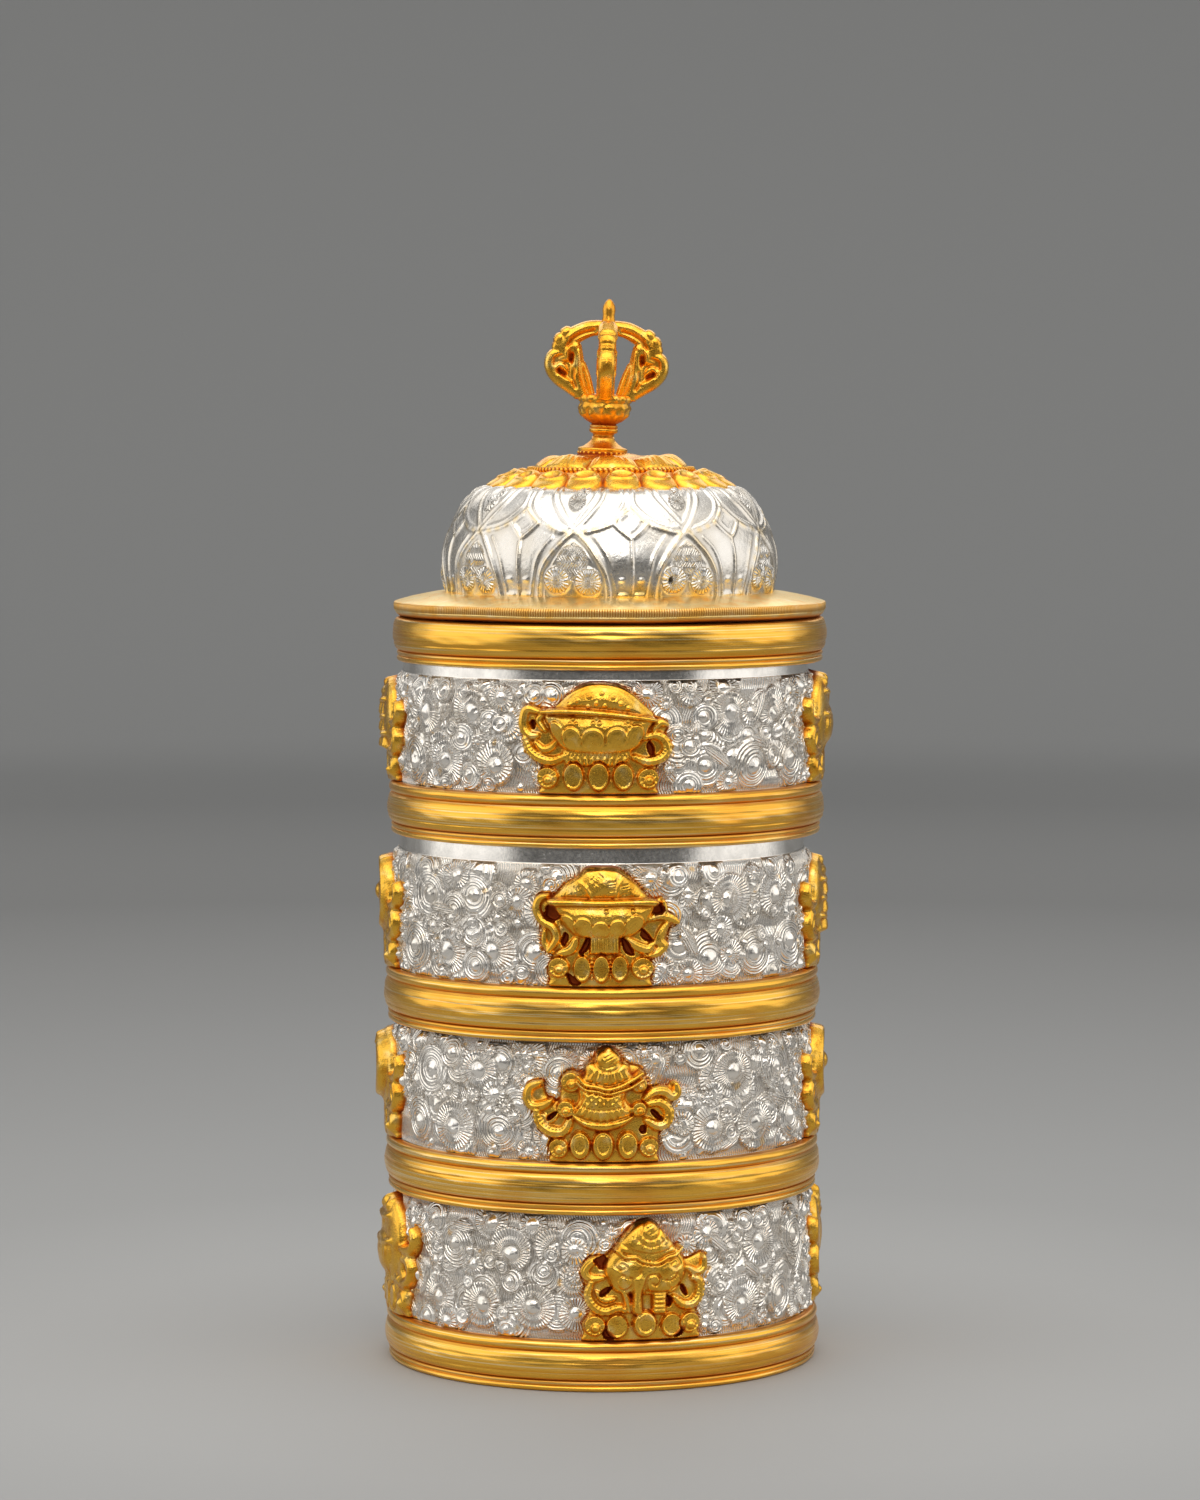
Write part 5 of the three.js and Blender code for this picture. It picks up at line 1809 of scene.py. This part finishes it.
def makeRope():
    # a ring of two strands: the section swells with the sum of the two angles
    angle = circle(rope["twists"] * rope["perTwist"])[None, :]
    section = circle(rope["section"])[:, None]
    strand = 0.5 + 0.5 * np.cos(section + angle * rope["twists"])
    reach = rope["thick"] * (rope["least"] + (1 - rope["least"]) * strand)
    radius, height = rope["radius"] + reach * np.cos(section), rope["height"] + reach * np.sin(section)
    shell = closedRing(around(radius, height, angle, capShift, lidFoot))
    # painted shade: darker where the two strands meet
    makeGilt("rope_ring_twist", [shell], "rope_ring", 0.9 * (1 - strand) ** 1.5)


for ring in petalRings:
    makePetals(ring)
makeRope()
print("cap, rope and rosette made")

# Finial: foot, bulb, middle prong and four outer prongs, leaning a little to the right

finial = {
    "lean": math.radians(2.6),
    "foot": (lidShift - 1.15, 0.0, 32.9 + lidFoot),
    "step": 0.13,
    "prongAcross": (0.0, 10.2),  # what the drawing of an outer prong covers
    "prongUp": (8.6, 21.6),
    "thinnest": 0.06,
    "footSegments": 120,
    "bulbSegments": 160,
    "rodSegments": 40,
    "beads": 26,
    "beadCircle": 3.85,
    "beadHeight": 0.16,
    "beadSize": (0.25, 0.22),
}

# strokes of an outer prong, radius and height: path, width at its start and end, half thickness
prongStrokes = [
    ([(7.6, 15.4), (7.4, 14.0), (6.6, 12.8), (5.4, 11.6)], 3.2, 3.2, 0.75),
    ([(5.8, 16.4), (5.6, 14.6), (5.2, 12.6)], 2.4, 2.8, 0.9),
    (
        [(0.6, 20.1), (1.9, 20.0), (3.3, 19.7), (4.9, 18.9), (6.2, 18.0), (6.9, 16.9), (6.7, 15.8)],
        2.3,
        3.4,
        1.4,
    ),
    ([(6.5, 19.2), (6.8, 19.0)], 1.8, 1.8, 1.35),
    ([(7.6, 18.1), (7.75, 17.8)], 1.9, 1.9, 1.35),
    ([(8.0, 17.0), (8.1, 16.7)], 1.7, 1.6, 1.2),
    ([(5.1, 16.8), (4.8, 14.8), (4.7, 12.6), (4.2, 10.4), (3.6, 9.0)], 2.1, 2.8, 1.45),
    ([(3.9, 14.0), (3.4, 11.8), (3.0, 9.0)], 1.4, 2.9, 1.0),
    (
        [(6.6, 15.7), (7.6, 15.8), (8.6, 15.3), (8.95, 14.2), (8.6, 12.9), (7.4, 11.6), (5.6, 10.5)]
        + [(3.4, 9.1)],
        1.8,
        2.4,
        1.3,
    ),
    ([(8.0, 13.3), (7.4, 13.9), (6.7, 13.6), (6.3, 12.8)], 1.0, 1.0, 1.15),
]

# folds and ribs laid on it: path, half width, rise (negative for a groove)
prongLines = [
    ([(1.8, 20.4), (3.6, 20.1), (5.2, 19.3), (6.3, 18.4)], 0.22, 0.25),
    ([(2.2, 19.5), (3.9, 19.0), (5.4, 18.1), (6.2, 17.0)], 0.25, -0.45),
    ([(5.9, 16.9), (6.4, 16.0), (6.3, 15.0), (5.8, 14.2)], 0.22, 0.3),
    ([(5.6, 15.6), (5.7, 14.4)], 0.3, -0.7),
    ([(4.4, 16.4), (4.5, 14.6), (4.4, 12.6)], 0.2, 0.25),
    ([(5.2, 13.2), (5.2, 11.8), (4.7, 10.4)], 0.22, -0.4),
    ([(7.1, 15.4), (8.2, 15.0), (8.4, 14.0)], 0.22, -0.4),
    ([(6.5, 12.6), (7.0, 12.7), (7.5, 12.9)], 0.32, -0.75),
    ([(5.6, 11.3), (6.6, 11.6), (7.4, 12.2)], 0.2, 0.2),
]


def leaning(points):
    lean = np.array(Matrix.Rotation(finial["lean"], 3, "Y"))
    return points @ lean.T + np.array(finial["foot"])


def leaningTurn(outline, segments, swell=None):
    shell, faces = turned(outline, segments, swell=swell)
    return leaning(shell), faces


def flatCasting(strokes, lines, step):
    # a casting drawn flat: rounded strokes joined, with the grid's border moved onto the outline
    xs, zs = np.arange(*finial["prongAcross"], step), np.arange(*finial["prongUp"], step)
    x, z = np.meshgrid(xs, zs)
    inside, half = np.full_like(x, -9.0), np.zeros_like(x)
    for path, start, end, thick in strokes:
        line = smoothPath(path, 14 * len(path))
        away = np.hypot(x[..., None] - line[:, 0], z[..., None] - line[:, 1])
        width = (start + (end - start) * away.argmin(-1) / (len(line) - 1)) / 2
        away = away.min(-1)
        inside = np.maximum(inside, width - away)
        half = np.maximum(half, thick * roof(away / width) ** 0.8)
    for path, width, rise in lines:
        half = half + bump(apart(x, z, path), width, rise) * (inside > 0)
    half = blurred(np.clip(half, finial["thinnest"], None), 1)
    used = inside > 0
    cells = np.arange(x.size).reshape(x.shape)
    a, b, c, d = cells[:-1, :-1], cells[:-1, 1:], cells[1:, 1:], cells[1:, :-1]
    faces = np.vstack([np.stack([g.ravel() for g in t], 1) for t in ((a, b, c), (a, c, d))])
    faces = faces[used.ravel()[faces].all(1)]
    edges = np.vstack([faces[:, [0, 1]], faces[:, [1, 2]], faces[:, [2, 0]]])
    _, first, count = np.unique(np.sort(edges, 1), axis=0, return_index=True, return_counts=True)
    border = edges[first[count == 1]]
    slopeZ, slopeX = np.gradient(inside, step)
    steep = np.clip(slopeX**2 + slopeZ**2, 0.3, None)
    onBorder = np.zeros(x.size, bool)
    onBorder[border.ravel()] = True
    onBorder = onBorder.reshape(x.shape)
    reach = np.where(onBorder, np.clip(inside, 0, 1.5 * step), 0)
    x, z = x - slopeX * reach / steep, z - slopeZ * reach / steep
    half = np.where(onBorder, finial["thinnest"], half)
    front = np.stack([x, -half, z], -1).reshape(-1, 3)
    back = np.stack([x, half, z], -1).reshape(-1, 3)
    total = len(front)
    p, q = border.T
    walls = np.vstack([np.stack([q, p, p + total], 1), np.stack([q, p + total, q + total], 1)])
    faces = np.vstack([faces, faces[:, ::-1] + total, walls])
    # painted shade: the hollows of the casting are darkened
    cavityShade = np.tile((hollows(half, 12, 0.45) * smooth(0.1, 0.5, inside)).ravel(), 2)
    return np.vstack([front, back]), faces, cavityShade


def makeFoot():
    # a turned foot with a ring of beads round it
    foot = [(1.2, -1.1), (4.6, -1.1), (4.35, -0.6), (4.0, -0.2)]
    foot += arc((3.7, 0.1), 0.3, -30, 30, 5) + arc((3.65, 0.66), 0.34, -40, 70, 6)
    foot += [(3.2, 1.15), (2.6, 1.55), (2.15, 1.95), (1.85, 2.35), (1.75, 2.8), (1.2, 2.8)]
    shells = [leaningTurn(foot, finial["footSegments"])]
    height = np.array(foot)[:, 1]
    # painted shade: a dark band round the ring of beads, and a little all over
    footShade = np.repeat(np.where(abs(height - 0.1) < 0.32, 1.0, 0.15), finial["footSegments"])
    wide, tall = finial["beadSize"]
    t = np.linspace(-math.pi / 2, math.pi / 2, 7)
    ball = around(wide * np.cos(t)[:, None], tall * np.sin(t)[:, None], circle(10))
    vertices, faces = surface(ball, closeColumns=True, poles=(0, 6))
    reach = finial["beadCircle"]
    for a in circle(finial["beads"]):
        bead = vertices + np.array([reach * math.cos(a), reach * math.sin(a), finial["beadHeight"]])
        shells.append((leaning(bead), faces))
    beads = np.full(finial["beads"] * len(vertices), 0.1)
    makeGilt("finial_foot_beaded", shells, "finial_foot", np.concatenate([footShade, beads]))


def bulbPetals(angle, height):
    share = np.clip((height - 4.9) / 3.2, 0, 1)
    swell = abs(np.cos(angle * 5 + 0.6 * np.sin(4 * share))) ** 0.6 - 0.6
    folds = 0.10 * np.cos(angle * 15 + 7 * share) + 0.08 * np.cos(16 * share)
    rim = 0.12 * np.cos(angle * 17) * smooth(8.1, 8.4, height)
    return (0.42 * swell + folds) * np.sin(math.pi * share) + rim


def makeVajra():
    # stem and bulb, the middle prong, and one casting set four times round it
    stem = [(0.0, 2.4), (1.75, 2.45), (1.65, 2.9), (1.75, 3.25)]
    stem += arc((1.9, 3.75), 0.42, -70, 60, 7) + arc((1.95, 4.35), 0.32, -60, 75, 6)
    stem += [(1.95, 4.75), (2.35, 5.0), (2.8, 5.25), (3.2, 5.6), (3.6, 6.0), (3.85, 6.4)]
    stem += [(4.0, 6.8), (4.1, 7.2), (4.12, 7.6), (4.0, 7.95), (4.0, 8.15), (4.2, 8.4)]
    stem += [(4.3, 8.8), (4.15, 9.2), (3.7, 9.4), (1.5, 9.6), (0.0, 9.7)]
    rod = [(0, 9.2), (1.1, 9.3), (1.05, 10.6), (1.15, 12.2), (1.0, 13.8), (1.15, 15.4)]
    rod += [(1.0, 17.0), (1.15, 18.6), (1.25, 19.6), (1.3, 20.4), (1.15, 21.1), (0.98, 21.6)]
    rod += [(0.95, 22.2), (1.05, 22.9), (0.95, 23.6), (0.62, 24.2), (0.25, 24.6), (0, 24.7)]
    bulb = leaningTurn(stem, finial["bulbSegments"], bulbPetals)
    middle = leaningTurn(rod, finial["rodSegments"])
    shells = [bulb, middle]
    # painted shade: the stem's grooves are darkened, and the middle prong a little
    stemShade = 0.12 + 0.5 * grooveDepth(np.array(stem))
    paintedShades = [np.repeat(stemShade, finial["bulbSegments"]), np.full(len(middle[0]), 0.2)]
    vertices, faces, cavityShade = flatCasting(prongStrokes, prongLines, finial["step"])
    for quarter in range(4):
        turn = np.array(Matrix.Rotation(quarter * math.pi / 2, 3, "Z"))
        shells.append((leaning(vertices @ turn.T), faces))
        paintedShades.append(cavityShade)
    makeGilt("vajra_finial_cast", shells, "vajra_finial", np.concatenate(paintedShades))


makeFoot()
makeVajra()
print("finial made")

# Pieces whose plain shape is right get their finish

plainFinishes = {"plain_silver": plainSilver, "copper": workedCopper, "steel": plainSteel}
for entry in frame["record"]["subparts"]:
    if entry["material_slot"] in plainFinishes:
        mesh = frame["nodes"][entry["node"]].data
        mesh.materials.clear()
        mesh.materials.append(plainFinishes[entry["material_slot"]])
